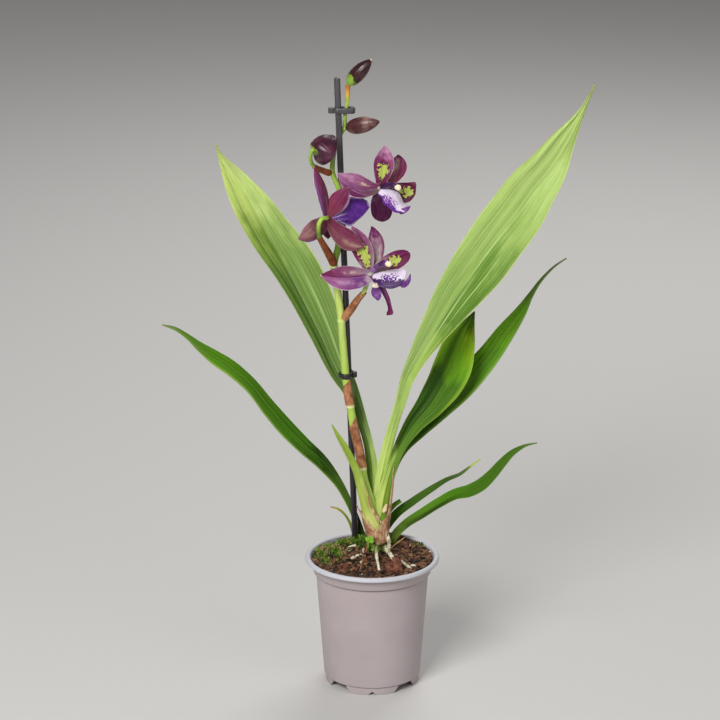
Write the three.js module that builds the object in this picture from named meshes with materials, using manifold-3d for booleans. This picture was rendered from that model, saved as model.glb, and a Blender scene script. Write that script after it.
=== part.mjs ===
// A flowering orchid in a nursery pot, with one flower spike clipped to a stake.
// Millimetres, +Z up. The origin is the middle of the pot's underside, on the surface that it
// stands on. The blooms look towards -Y, and +X is to the right as they are looked at.
import * as THREE from 'three';
import { mergeVertices } from 'three/addons/utils/BufferGeometryUtils.js';
import Module from 'manifold-3d';

// ---- driving dimensions ---------------------------------------------------------------------

const GAP = 0.35; // clearance between touching pieces

const POT = {
  rimRadius: 60,
  rimTop: 119,
  rimDrop: 5.5,
  collarRadius: 52.6,
  stepHeight: 104,
  wallTopRadius: 50.4,
  wallFootRadius: 42.8,
  wall: 1.3,
  floorHeight: 6,
  bossRadius: 14,
  mouthRadius: 54.6,
  rimPlate: 2.6,
  footRing: 2.2,
  hollowHeight: 4.4,
  draft: 1,
  segments: 32,
};
const FEET = { count: 4, gapDegrees: 24, gapHeight: 4.6, notchWidth: 3, notchHeight: 2.6 };
const DRAIN = { count: 6, radius: 3.5, ring: 27 };

const SOIL = {
  edgeHeight: 110.5, domeHeight: 5, dome: [-2, 40], domeSpread: 24, rough: 1.1,
  clearance: 0.75, sides: 24, ringRadii: [50.6, 42, 32, 22, 12],
};

const STAKE = { radius: 2.75, foot: [-14.1, 40, 84], top: [-31, 42.3, 546] };
const CLIP = { height: 5, wall: 1.1 };

const SPIKE_RADIUS = { foot: 3.3, top: 1.8 };

// ---- the plant's own shape --------------------------------------------------------------------

const BULB = { middle: [6.5, 21, 128], radii: [8.2, 7.6, 8.5] };

const ROOT = {
  radius: 1.7,
  coreRadius: 4,
  coreTop: 120,
  coreFoot: 96.5,
  routes: [
    [[6, 19, 119], [5, 8, 115], [6, -7, 113], [7, -21, 110]],
    [[8, 21, 118], [14, 22, 115], [20, 10, 113.5], [26, -8, 109]],
    [[8, 22, 117], [20, 18, 114], [29, 2, 112.5], [37, -20, 109]],
    [[4, 20, 118], [-3, 16, 115], [-8, 6, 112.5], [-12, -6, 109]],
    [[3, 23, 118], [-7, 26, 115.5], [-19, 22, 113], [-28, 12, 109]],
    [[7, 25, 118], [10, 34, 115], [9, 44, 111]],
    [[9, 24, 118], [21, 29, 114.5], [34, 30, 110]],
  ],
};

const SHEATH = {
  foot: 122, rim: 137, wall: 0.8, sides: 22, rows: 4,
  footRadii: [9.2, 8.2],
  mouthRadii: [11.4, 10.2],
  points: [
    { at: 188, rise: 22, spread: 22, flare: 7 },
    { at: 2, rise: 70, spread: 11, flare: 0.2 },
    { at: 270, rise: -4, spread: 30, flare: 0 },
    { at: 90, rise: 6, spread: 40, flare: 1 },
  ],
};

// Pleats are counted across each half of a blade, waves along its margin.
const BROAD = {
  across: 6, steps: 16, thick: 0.9, thickFoot: 2.6, pleats: 1.5, pleatDepth: 0.7, waves: 2, waveDepth: 1.2,
};
const NARROW = {
  across: 4, steps: 11, thick: 0.8, thickFoot: 1.8, pleats: 1, pleatDepth: 0.4, waves: 2, waveDepth: 0.6,
};

// The share of a blade over which its thick foot thins out, the half width from which pleats and
// waves have their full depth, and the least half width.
const FOOT_SHARE = 0.3;
const FULL_HALF = 9;
const LEAST_HALF = 0.3;

const LEAVES = {
  leaf_big_right: {
    ...BROAD, finish: 'paleLeaf',
    stations: [
      [7, 22, 133, 3.5, 3.5, 0, 12], [8, 22, 167, 5.2, 5.2, 0, 15], [10, 22, 199, 5.8, 6, 0, 20],
      [17, 21, 228, 5, 5, 0, 30], [25, 19, 258, 5, 5.6, 0, 35], [32, 16, 282, 6.6, 6, 5, 30],
      [45, 12, 307, 11, 8, 10, 22], [62, 7, 338, 16.5, 14, 10, 14], [77, 2, 365, 20.5, 20, 8, 12],
      [93, -4, 391, 23.5, 23.8, 5, 10], [109, -10, 416, 25.7, 23.5, 2, 10],
      [125, -15, 439, 26.5, 22, 0, 10], [138, -19, 460, 26.2, 18.6, -4, 12],
      [152, -23, 480, 24, 13.4, -8, 14], [166, -27, 506, 17.5, 6, -10, 14],
      [178, -30, 533, 4.6, 2, -8, 10], [188, -32, 557, 0.6, 0.6, 0, 5],
    ],
  },
  leaf_big_left: {
    ...BROAD, finish: 'leaf', phase: 2,
    stations: [
      [4, 26, 134, 3.5, 3.5, 0, 12], [2, 28, 165, 4.6, 4.6, 0, 14], [-1, 33, 190, 4.6, 4.6, 0, 14],
      [-6, 40, 209, 4.4, 4.6, 0, 14], [-10, 48, 230, 4.6, 5.4, 0, 14], [-19, 54, 254, 6.4, 7.4, -5, 14],
      [-31, 58, 273, 8, 13, -12, 20], [-46, 61, 306, 11, 19.5, -22, 28], [-62, 64, 339, 14, 22.8, -28, 32],
      [-77, 66, 368, 16, 24, -26, 30], [-92, 68, 394, 17.2, 22, -20, 24], [-107, 68, 424, 16.4, 17, -8, 18],
      [-121, 67, 450, 11.5, 9, 5, 12], [-133, 65, 470, 3.6, 1.8, 8, 8], [-138, 63, 481, 0.6, 0.6, 8, 5],
    ],
  },
  leaf_mid_right: {
    ...BROAD, finish: 'leaf', phase: 1, steps: 14,
    stations: [
      [11, 17, 136, 3, 3, 0, 12], [15, 19.5, 163, 4, 4, 0, 14], [19, 24, 191, 5, 5, 0, 20],
      [25, 28, 211, 6, 5, 5, 22], [37, 33, 231, 8.5, 8.5, 10, 18], [53, 38, 249, 13, 12.7, 15, 14],
      [63, 42, 265, 14.8, 17.4, 15, 12], [72, 45, 284, 16.2, 18.3, 12, 12], [80, 47, 305, 14.4, 12.6, 8, 10],
      [87, 48, 322, 6, 4.7, 5, 8], [91, 48, 332, 0.6, 0.6, 0, 5],
    ],
  },
  leaf_far_right: {
    ...BROAD, finish: 'leaf', phase: 4, steps: 15,
    stations: [
      [11, 29, 135, 3, 3, 0, 12], [15, 31, 159, 4, 4, 0, 14], [20, 35, 186, 4.6, 4.4, 0, 18],
      [27, 41, 204, 5.4, 4.8, 8, 20], [43, 48, 219, 8.4, 6, 18, 18], [62, 56, 238, 12, 10.5, 30, 14],
      [83, 63, 259, 13, 14.4, 38, 12], [104, 69, 283, 10.4, 13.6, 40, 12], [119, 73, 305, 7.2, 11.6, 38, 12],
      [134, 76, 324, 5, 6, 35, 12], [143, 78, 338, 3.2, 2.2, 30, 10], [151, 79, 351, 1.6, 1.5, 20, 5],
      [163, 80, 364, 1, 1, 0, 0], [174, 80, 372, 0.6, 0.6, 0, 0],
    ],
  },
  leaf_short_front: {
    ...NARROW, finish: 'paleLeaf',
    stations: [
      [4, 15, 136, 3, 3, 0, 14], [-2, 12, 155, 4.2, 3.8, -10, 18], [-9, 9, 176, 4.3, 4, -25, 20],
      [-15, 6, 198, 4.4, 3.4, -30, 20], [-23, 4, 217, 3.8, 2.8, -30, 18], [-30, 2, 230, 2.2, 2, -20, 12],
      [-36, 0, 242, 0.5, 0.5, 0, 5],
    ],
  },
  leaf_arching_left: {
    ...BROAD, finish: 'darkLeaf', across: 4,
    stations: [
      [-6, 47, 104, 2.6, 2.6, 0, 10], [-9, 49, 118, 3, 3, 0, 10], [-14, 50.5, 133, 3.4, 3, -5, 12],
      [-20, 52, 148, 3.6, 2.6, -10, 14], [-30, 54, 168, 5.4, 3, -25, 16], [-45, 54, 188, 9.2, 5, -40, 18],
      [-62, 53, 204, 12, 7, -50, 18], [-80, 51, 224, 14.6, 8.4, -55, 18], [-94, 47, 243, 14.2, 8.6, -58, 16],
      [-109, 42, 265, 12.4, 7.6, -60, 16], [-126, 36, 283, 11.2, 7.2, -60, 16],
      [-141, 30, 296, 9.6, 5.6, -58, 14], [-153, 24, 307, 6.4, 3.8, -55, 14],
      [-164, 19, 318, 3, 2.4, -50, 12], [-174, 15, 326, 1.8, 1.8, -40, 10],
      [-185, 11, 331, 0.6, 0.6, -30, 5],
    ],
  },
  leaf_low_dark: {
    ...NARROW, finish: 'darkLeaf',
    stations: [
      [14, 41, 104, 2.4, 2.4, 0, 10], [16, 41, 126, 2.6, 2.6, 10, 10], [26, 43, 145, 3.4, 4.2, 35, 14],
      [38, 48, 152, 3.8, 4.6, 50, 14], [55, 54, 162, 3.2, 4, 58, 14], [68, 58, 169, 2.4, 2.8, 58, 12],
      [80, 62, 173, 1.6, 1.7, 40, 8], [89, 65, 179, 1.1, 1.1, 10, 5], [99, 67, 186, 0.5, 0.5, 0, 0],
    ],
  },
  leaf_low_bright: {
    ...NARROW, finish: 'leaf', phase: 2, steps: 14,
    stations: [
      [17, 34, 104, 2.4, 2.4, 0, 10], [18, 34, 115, 2.6, 2.6, 0, 10], [21, 32, 126, 3, 3, 10, 10],
      [33, 26, 143, 2.4, 3.4, 25, 14], [48, 20, 156, 3, 4, 40, 16], [62, 13, 166, 3.8, 4.6, 45, 16],
      [74, 6, 174, 4.9, 5.8, 45, 16], [87, -1, 180, 5.8, 6.4, 42, 16], [98, -8, 189, 5.8, 6.4, 40, 14],
      [107, -14, 201, 4.8, 5.6, 38, 14], [114, -19, 212, 4, 4.6, 36, 12], [123, -24, 224, 2.6, 3.2, 35, 12],
      [134, -28, 232, 1.4, 1.2, 20, 10], [144, -32, 236, 0.5, 0.5, 0, 5],
    ],
  },
  leaf_stub: {
    ...NARROW, finish: 'paleLeaf', steps: 5, across: 2,
    stations: [
      [9, 35, 106, 2, 2, 0, 10], [11, 35, 130, 2.2, 2.2, 0, 10], [14, 35, 145, 2.4, 2.4, 20, 12],
      [20, 36.5, 152, 2.4, 2.4, 40, 12], [26, 38, 156, 2, 2, 40, 10],
    ],
  },
  leaf_withered: {
    ...NARROW, finish: 'yellowLeaf', steps: 6, across: 2, waveDepth: 0,
    stations: [
      [-16, 46, 106, 1.3, 1.3, 0, 10], [-18, 48, 124, 1.3, 1.3, 0, 12], [-24, 50, 137, 1.1, 1.1, -30, 12],
      [-31, 51, 143, 1.1, 1.1, -50, 10], [-38, 52, 145, 0.5, 0.5, -50, 5],
    ],
  },
};

const SPIKE = {
  main: [
    [4, 20.5, 138], [2, 20, 150], [-1, 20, 163], [-7, 21, 182], [-9, 22, 194], [-12, 25, 211],
    [-16, 28, 227], [-20, 32, 250], [-23, 34.5, 269], [-25, 35.5, 290], [-26.8, 36.6, 315],
    [-27.8, 37.2, 330], [-31, 40, 354], [-34, 41, 377], [-30.5, 38.5, 393], [-28, 36, 415],
    [-28, 35.5, 435], [-30, 36.5, 449], [-35, 40.5, 461], [-34, 45, 477], [-31, 47.5, 489],
    [-25, 47, 500], [-24, 44, 512], [-22, 42, 524], [-21.5, 42, 540],
  ],
  stalks: [
    {
      radius: 1.9,
      route: [[-27, 37.5, 327], [-18.5, 33, 341], [-12, 29, 351], [-6, 26, 361], [-3, 23, 371]],
    },
    {
      radius: 1.9,
      route: [
        [-34, 41, 377], [-39.5, 36, 388], [-43, 31, 396], [-46.5, 21, 410], [-47, 14, 420], [-44, 10, 427],
        [-40, 13, 428],
      ],
    },
    { radius: 1.8, route: [[-29, 36, 445], [-18, 34, 446], [-7, 30, 448], [4, 22, 452]] },
    {
      radius: 1.7,
      route: [
        [-35, 40.5, 460], [-44, 36, 467], [-50, 32, 473], [-54, 29, 479], [-53, 28, 486], [-49, 26, 488],
      ],
    },
    { radius: 1.7, route: [[-26, 47, 498], [-23, 43, 501]] },
  ],
};

const BRACT_WALL = 0.9;
const BRACTS = {
  bract_stem_low: {
    finish: 'bract', slant: 9,
    route: [[-9, 22, 194], [-12, 25, 211], [-15.5, 27.7, 225], [-16.6, 28.6, 230]],
    radii: [3.1, 3, 2.9, 2.8],
  },
  bract_stem_high: {
    finish: 'bract', slant: 5,
    route: [[-20, 32, 250], [-21.5, 33.2, 259], [-22.6, 34.2, 267]], radii: [2.8, 2.8, 2.6],
  },
  bract_bloom_low: {
    finish: 'bract', slant: 3,
    route: [[-25, 36.8, 330], [-18.5, 33, 341], [-12, 29, 350.5], [-6.6, 26.2, 359.5]],
    radii: [3, 2.6, 2.1, 1.9],
  },
  bract_bloom_left: {
    finish: 'bract', slant: 3,
    route: [[-35.5, 40, 380], [-39.5, 36, 388], [-43, 31, 396], [-46.2, 22, 408.5]],
    radii: [2.9, 2.4, 2, 1.9],
  },
  bract_bud_left: {
    finish: 'bract', slant: 2,
    route: [[-38, 39, 462.5], [-44, 36, 467], [-50, 32, 473], [-52.6, 30, 477]],
    radii: [2, 1.9, 1.7, 1.6],
  },
  bract_top: {
    finish: 'bract', slant: 4,
    route: [[-22.2, 42, 523], [-21.8, 42, 529], [-21.6, 42, 533]], radii: [1.8, 1.8, 1.8],
  },
};

// Share of the length, share of the greatest radius.
const BUD_SHAPE = [[0, 0.3], [0.1, 0.68], [0.25, 0.93], [0.45, 1], [0.65, 0.88], [0.85, 0.54], [1, 0.12]];
const BUDS = {
  bud_top: { foot: [-21.5, 42, 540], tip: [-1, 38, 563], radius: 6.6 },
  bud_right: { foot: [-23, 43, 501], tip: [6, 30, 510], radius: 7.2 },
  bud_left: { foot: [-48.6, 26, 489], tip: [-33.6, 2, 487], radius: 10.6 },
};

// Share of the length, share of the greatest half width.
const TEPAL_SHAPE = [[0, 0.3], [0.15, 0.5], [0.35, 0.86], [0.55, 1], [0.74, 0.88], [0.9, 0.5], [1, 0.06]];
const HUB_RADIUS = 3;
const COLUMN_RADII = [2.3, 2.4, 2.6, 2.9, 1.8];

// In each bloom the tepals are, in this order, the dorsal sepal, the two petals and the two
// lateral sepals. Lift is how far a tepal's middle bows out of the line to its tip.
const BLOOMS = {
  bloom_upper: {
    hub: [6, 20, 453],
    tepals: [
      { tip: [10.5, 17, 492], lift: [0, 2, 0], half: 8.8, roll: [0, 0], cup: 0.25 },
      { tip: [-30, 21, 466], lift: [0, -3, -4], half: 10.4, roll: [0, 0], cup: 0.25 },
      { tip: [22, 32, 479], lift: [4, 0, 0], half: 8.8, roll: [-20, -25], cup: 0.25 },
      { tip: [8, 24, 422], lift: [0, 1, 0], half: 9.6, roll: [0, 0], cup: 0.2 },
      { tip: [37.5, 20, 448], lift: [0, 2, -1], half: 9, roll: [0, 10], cup: 0.25 },
    ],
    column: [[8, 18, 454], [11, 15, 456], [15, 12, 458], [19, 8.5, 458], [22, 6, 457]],
    lip: [
      [6, 14.5, 450.5, 3, 3, 70, 0], [11, 11, 449.5, 8, 8, 72, 0], [17.5, 6, 447, 12, 12, 72, 0],
      [24, 1, 442, 11, 11, 70, 0], [29, -2, 438.5, 5, 5, 66, 0],
    ],
  },
  bloom_left: {
    hub: [-40, 14, 428],
    tepals: [
      { tip: [-21, 14, 455], lift: [0, -2, 0], half: 8.6, roll: [0, 0], cup: -0.25 },
      { tip: [-51, 8, 475], lift: [3, -2, 0], half: 8.4, roll: [-52, -58], cup: -0.25 },
      { tip: [-7, 17, 401], lift: [-1, -3, -5], half: 9.4, roll: [0, 0], cup: -0.25 },
      { tip: [-65, 9, 410], lift: [0, -2, -3.5], half: 8.4, roll: [10, 10], cup: -0.25 },
      { tip: [-39, 30, 404], lift: [0, 2, 0], half: 7.4, roll: [0, 0], cup: -0.25 },
    ],
    column: [[-38, 17, 429], [-35, 20, 430], [-32, 23, 431], [-29, 26, 430], [-27, 29, 429]],
    lip: [
      [-35, 15, 427, 3, 3, 0, 0], [-28, 18, 429, 8, 8, 0, 0], [-19, 21, 431, 12, 14, 0, 0],
      [-9, 24, 434, 11.5, 12.5, 0, 0], [-2, 27, 438, 5, 5, 0, 0],
    ],
  },
  bloom_lower: {
    hub: [-2, 20, 375],
    tepals: [
      { tip: [-18, 26, 417], lift: [1.5, -2, 0], half: 9.2, roll: [0, 0], cup: 0.25 },
      { tip: [-46, 23, 372], lift: [0, -3, -2.5], half: 11, roll: [0, 0], cup: 0.3 },
      { tip: [-1, 33, 415], lift: [4.5, 1, 0], half: 7.6, roll: [0, -10], cup: 0.2 },
      { tip: [17, 14, 338], lift: [1.5, 0, 1], half: 7, roll: [30, 86], cup: 0.2 },
      { tip: [33, 22, 394], lift: [0, 1, 0.5], half: 7.6, roll: [10, 15], cup: 0.25 },
    ],
    column: [[0, 17, 379], [4, 14, 383], [8, 10, 387], [11, 6.5, 389], [14, 3, 389]],
    lip: [
      [0.5, 16.5, 373, 3, 3, 70, 0], [7.5, 9, 376, 8.5, 8.5, 70, 0], [14, 2, 378.5, 14, 14, 70, 0],
      [19, -4, 377, 14, 14, 70, 0], [22, -8, 374, 7, 7, 70, 0],
    ],
  },
};

const CHIP_ROUGH = 0.6;
const CHIPS = [
  { size: [15, 21, 3.4], turn: 0.15, place: [19, -22, 111.5], seed: 3 },
  { size: [9, 17, 3], turn: -0.2, place: [-26, -18, 111.2], seed: 5 },
];

const CLIPS = {
  clip_upper: { z: 517, spike: [-21.6, 42.6], hole: 3.2, grips: [{ at: [-36, 42], radius: 2.6 }] },
  clip_lower: {
    z: 276, spike: [-23.5, 35], hole: 3.4,
    grips: [{ at: [-16.2, 39], radius: 2.4 }, { at: [-28.2, 38], radius: 1.9 }],
  },
};

// ---- solids ---------------------------------------------------------------------------------

const wasm = await Module();
wasm.setup();

// A closed three.js geometry as a solid that can be cut and joined.
function solidOf(geometry) {
  const bare = geometry.clone();
  bare.deleteAttribute('normal');
  bare.deleteAttribute('uv');
  const merged = mergeVertices(bare, 1e-4);
  return new wasm.Manifold(new wasm.Mesh({
    numProp: 3,
    vertProperties: new Float32Array(merged.attributes.position.array),
    triVerts: new Uint32Array(merged.index.array),
  }));
}

function geometryOf(solid) {
  const mesh = solid.getMesh();
  const geometry = new THREE.BufferGeometry();
  geometry.setAttribute('position', new THREE.BufferAttribute(new Float32Array(mesh.vertProperties), 3));
  geometry.setIndex(new THREE.BufferAttribute(new Uint32Array(mesh.triVerts), 1));
  geometry.computeVertexNormals();
  return geometry;
}

// The body that is left when the scraps of a cut are dropped.
function largestBody(solid) {
  const bodies = solid.decompose();
  return bodies.reduce((best, body) => (body.volume() > best.volume() ? body : best));
}

function cutAll(solid, cutters) {
  return largestBody(cutters.reduce((rest, cutter) => rest.subtract(cutter), solid));
}

function joinAll(solids) {
  return solids.reduce((whole, solid) => whole.add(solid));
}

// A repeatable draw between -1 and 1 for each call.
function seededDraw(seed) {
  let state = seed;
  return () => {
    state = (state * 1664525 + 1013904223) % 4294967296;
    return state / 2147483648 - 1;
  };
}

// ---- lofts ----------------------------------------------------------------------------------

function vector([x, y, z]) {
  return new THREE.Vector3(x, y, z);
}

function curveThrough(points) {
  return new THREE.CatmullRomCurve3(points.map(vector), false, 'centripetal');
}

// Values that belong to a curve's points, as smooth as the curve itself.
function valuesThrough(rows) {
  const curve = new THREE.CatmullRomCurve3(rows.map(vector), false, 'catmullrom', 0.5);
  return (t) => curve.getPoint(t);
}

function geometryFrom(points, triangles) {
  const geometry = new THREE.BufferGeometry().setFromPoints(points);
  geometry.setIndex(triangles);
  return geometry;
}

// Closed rings of points, joined into a tube whose two ends are shut by fans.
function ringLoft(rings, startCentre, endCentre) {
  const sides = rings[0].length;
  const points = [...rings.flat(), startCentre, endCentre];
  const start = rings.length * sides;
  const last = (rings.length - 1) * sides;
  const triangles = [];
  for (let k = 0; k < sides; k += 1) {
    const next = (k + 1) % sides;
    for (let i = 0; i + 1 < rings.length; i += 1) {
      const a = i * sides;
      const b = a + sides;
      triangles.push(a + k, a + next, b + next, a + k, b + next, b + k);
    }
    triangles.push(start, next, k, start + 1, last + k, last + next);
  }
  return geometryFrom(points, triangles);
}

// A round stem along a route. Radii belong to the route's points; slant lengthens one side of
// the far end, as on a bract's pointed mouth.
function stem({ route, radii, sides = 8, steps = 3 * (route.length - 1), grow = 0, slant = 0 }) {
  const curve = curveThrough(route);
  const radiusAt = valuesThrough(radii.map((r) => [r, 0, 0]));
  const rings = [];
  let across = new THREE.Vector3(1, 0, 0);
  for (let i = 0; i <= steps; i += 1) {
    const t = i / steps;
    const along = curve.getTangent(t);
    const centre = curve.getPoint(t);
    if (i === 0) centre.addScaledVector(along, -grow);
    if (i === steps) centre.addScaledVector(along, grow);
    across = across.clone().addScaledVector(along, -across.dot(along)).normalize();
    const other = new THREE.Vector3().crossVectors(along, across);
    const radius = radiusAt(t).x + grow;
    const ring = [];
    for (let k = 0; k < sides; k += 1) {
      const angle = (2 * Math.PI * k) / sides;
      const point = centre.clone()
        .addScaledVector(across, radius * Math.cos(angle))
        .addScaledVector(other, radius * Math.sin(angle));
      if (i === steps) point.addScaledVector(along, slant * (1 + Math.cos(angle)) / 2);
      ring.push(point);
    }
    rings.push(ring);
  }
  const middle = (ring) => ring.reduce((sum, p) => sum.add(p), new THREE.Vector3()).divideScalar(sides);
  return solidOf(ringLoft(rings, middle(rings[0]), middle(rings[steps])));
}

// Two grids of points, the front and the back of a thin blade, closed round the edge. Both
// faces are split into triangles alike, so that they never cross.
function gridBlade(front, back) {
  const rows = front.length;
  const columns = front[0].length;
  const points = [...front.flat(), ...back.flat()];
  const f = (i, j) => i * columns + j;
  const b = (i, j) => rows * columns + f(i, j);
  const triangles = [];
  const quad = (p, q, r, s) => triangles.push(p, q, r, p, r, s);
  for (let i = 0; i + 1 < rows; i += 1) {
    for (let j = 0; j + 1 < columns; j += 1) {
      quad(f(i, j), f(i + 1, j), f(i + 1, j + 1), f(i, j + 1));
      triangles.push(b(i, j), b(i + 1, j + 1), b(i + 1, j), b(i, j), b(i, j + 1), b(i + 1, j + 1));
    }
    const end = columns - 1;
    quad(f(i, 0), b(i, 0), b(i + 1, 0), f(i + 1, 0));
    quad(f(i, end), f(i + 1, end), b(i + 1, end), b(i, end));
  }
  const tip = rows - 1;
  for (let j = 0; j + 1 < columns; j += 1) {
    quad(f(0, j), f(0, j + 1), b(0, j + 1), b(0, j));
    quad(f(tip, j), b(tip, j), b(tip, j + 1), f(tip, j + 1));
  }
  return solidOf(geometryFrom(points, triangles));
}

// A leaf, tepal or lip. Each station is [x, y, z, left, right, roll, fold]: a point of the
// midrib, the half widths on both sides of it, the turn of the face about the midrib away from
// -Y, and the angle by which both halves rise towards the face, in degrees.
function blade({
  stations, across = 6, steps = 16, thick = 0.9, thickFoot = thick, pleats = 0, pleatDepth = 0,
  waves = 0, waveDepth = 0, cup = 0, phase = 0, grow = 0,
}) {
  const rib = curveThrough(stations.map((s) => s.slice(0, 3)));
  const widthAt = valuesThrough(stations.map((s) => [s[3], s[4], 0]));
  const turnAt = valuesThrough(stations.map((s) => [s[5], s[6], 0]));
  const front = [];
  const back = [];
  for (let i = 0; i <= steps; i += 1) {
    const t = i / steps;
    const along = rib.getTangent(t);
    const centre = rib.getPoint(t);
    if (i === 0) centre.addScaledVector(along, -grow);
    if (i === steps) centre.addScaledVector(along, grow);
    const width = widthAt(t);
    const roll = THREE.MathUtils.degToRad(turnAt(t).x);
    const rise = Math.tan(THREE.MathUtils.degToRad(turnAt(t).y));
    const face = new THREE.Vector3(0, -1, 0).addScaledVector(along, along.y).normalize();
    face.applyAxisAngle(along, -roll);
    const left = new THREE.Vector3().crossVectors(face, along);
    const foot = Math.max(0, 1 - t / FOOT_SHARE) ** 2;
    const half = (thick + (thickFoot - thick) * foot) / 2 + grow;
    const frontRow = [];
    const backRow = [];
    for (let j = 0; j <= across; j += 1) {
      const u = (2 * j) / across - 1;
      const reach = Math.max(LEAST_HALF, u > 0 ? width.x : width.y) + grow;
      const spread = Math.min(1, reach / FULL_HALF);
      const edge = Math.abs(u);
      const lift = rise * reach * edge
        + cup * reach * edge ** 2
        + pleatDepth * spread * Math.cos(2 * Math.PI * pleats * edge)
        + waveDepth * spread * edge ** 2 * Math.sin(2 * Math.PI * waves * t + phase + 2 * u);
      const point = centre.clone().addScaledVector(left, u * reach).addScaledVector(face, lift);
      frontRow.push(point.clone().addScaledVector(face, half));
      backRow.push(point.clone().addScaledVector(face, -half));
    }
    front.push(frontRow);
    back.push(backRow);
  }
  return gridBlade(front, back);
}

// ---- pot and soil ---------------------------------------------------------------------------

function potWallRadius(z) {
  return POT.wallFootRadius + ((POT.wallTopRadius - POT.wallFootRadius) * z) / POT.stepHeight;
}

function lathe(profile) {
  const points = profile.map(([r, z]) => new THREE.Vector2(r, z));
  return solidOf(new THREE.LatheGeometry(points, POT.segments).rotateX(Math.PI / 2));
}

function cylinder(radius, height, [x, y, z], sides = 16) {
  return solidOf(new THREE.CylinderGeometry(radius, radius, height, sides)
    .rotateX(Math.PI / 2).translate(x, y, z + height / 2));
}

function box([width, depth, height], turn, [x, y, z]) {
  return solidOf(new THREE.BoxGeometry(width, depth, height).rotateZ(turn).translate(x, y, z));
}

function polar(radius, angle, z) {
  return [radius * Math.cos(angle), radius * Math.sin(angle), z];
}

function makePot() {
  const { rimRadius, rimTop, rimDrop, collarRadius, stepHeight, wall, floorHeight } = POT;
  const rimFoot = rimTop - rimDrop;
  const shelf = rimTop - POT.rimPlate;
  const foot = potWallRadius(0);
  const hollowSide = foot - POT.footRing;
  const outside = [
    [0, 0], [POT.bossRadius, 0], [POT.bossRadius + POT.draft, POT.hollowHeight],
    [hollowSide - POT.draft / 2, POT.hollowHeight], [hollowSide, 0], [foot, 0],
    [POT.wallTopRadius, stepHeight - 1], [collarRadius - 0.3, stepHeight],
    [collarRadius + 0.6, shelf], [rimRadius - 1.5, shelf], [rimRadius - 1.3, rimFoot],
    [rimRadius, rimFoot + 0.4], [rimRadius, rimTop - 1.2], [rimRadius - 1, rimTop],
  ];
  const inside = [
    [POT.mouthRadius + 0.8, rimTop - 0.3], [POT.mouthRadius, rimTop - 1.2],
    [collarRadius - 0.6, shelf], [collarRadius - wall, shelf - 3],
    [collarRadius - wall - 0.7, stepHeight], [POT.wallTopRadius - wall, stepHeight - 2],
    [potWallRadius(floorHeight) - wall, floorHeight], [0, floorHeight],
  ];
  const gapWidth = 2 * foot * Math.sin(THREE.MathUtils.degToRad(FEET.gapDegrees / 2));
  const cuts = [box([FEET.notchWidth, 9, 2 * FEET.notchHeight], 0, [0, -foot, 0])];
  for (let k = 0; k < FEET.count; k += 1) {
    const angle = (2 * Math.PI * (k + 0.5)) / FEET.count;
    cuts.push(box([9, gapWidth, 2 * FEET.gapHeight], angle, polar(foot, angle, 0)));
  }
  for (let k = 0; k < DRAIN.count; k += 1) {
    const angle = (2 * Math.PI * k) / DRAIN.count;
    cuts.push(cylinder(DRAIN.radius, 2 * floorHeight, polar(DRAIN.ring, angle, 0), 8));
  }
  return cutAll(lathe([...outside, ...inside]), cuts);
}

function soilHeight(x, y) {
  const [cx, cy] = SOIL.dome;
  const distance = ((x - cx) ** 2 + (y - cy) ** 2) / (2 * SOIL.domeSpread ** 2);
  return SOIL.edgeHeight + SOIL.domeHeight * Math.exp(-distance);
}

function ringAt(radius, sides, heightAt) {
  const ring = [];
  for (let k = 0; k < sides; k += 1) {
    const [x, y] = polar(radius, (2 * Math.PI * k) / sides, 0);
    ring.push(new THREE.Vector3(x, y, heightAt(x, y)));
  }
  return ring;
}

// The filled inside of the pot, with a crumbly top.
function makeSoil(holes) {
  const draw = seededDraw(7);
  const floor = POT.floorHeight + GAP;
  const clear = POT.wall + SOIL.clearance;
  const rings = [
    ringAt(potWallRadius(floor) - clear, SOIL.sides, () => floor),
    ringAt(POT.wallTopRadius - clear, SOIL.sides, () => POT.stepHeight - 3),
  ];
  for (const radius of SOIL.ringRadii) {
    rings.push(ringAt(radius, SOIL.sides, (x, y) => soilHeight(x, y) + SOIL.rough * draw()));
  }
  const middles = [floor, soilHeight(0, 0)].map((z) => new THREE.Vector3(0, 0, z));
  return cutAll(solidOf(ringLoft(rings, ...middles)), holes);
}

// A broken slab of bark, sunk a little into the soil.
function makeChip({ size, turn, place, seed }, grow = 0) {
  const draw = seededDraw(seed);
  const slab = new THREE.BoxGeometry(...size.map((side) => side + 2 * grow), 3, 3, 1);
  slab.deleteAttribute('normal');
  slab.deleteAttribute('uv');
  const geometry = mergeVertices(slab, 1e-4);
  const points = geometry.attributes.position;
  for (let k = 0; k < points.count; k += 1) {
    points.setX(k, points.getX(k) + CHIP_ROUGH * draw());
    points.setY(k, points.getY(k) + CHIP_ROUGH * draw());
    points.setZ(k, points.getZ(k) + CHIP_ROUGH * draw());
  }
  return solidOf(geometry.rotateX(0.08).rotateZ(turn).translate(...place));
}

// ---- the crown ------------------------------------------------------------------------------

function makePseudobulb(grow = 0) {
  const [rx, ry, rz] = BULB.radii;
  return solidOf(new THREE.SphereGeometry(1, 12, 7).rotateX(Math.PI / 2)
    .scale(rx + grow, ry + grow, rz + grow).translate(...BULB.middle));
}

function makeRoots(grow = 0) {
  const [x, y] = BULB.middle;
  const length = ROOT.coreTop - ROOT.coreFoot + 2 * grow;
  const core = cylinder(ROOT.coreRadius + grow, length, [x, y, ROOT.coreFoot - grow], 10);
  const strands = ROOT.routes.map((route) => stem({
    route, radii: route.map((_, i) => ROOT.radius * (1 - (0.4 * i) / route.length)), sides: 5,
    steps: 2 * (route.length - 1), grow,
  }));
  return joinAll([core, ...strands]);
}

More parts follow.
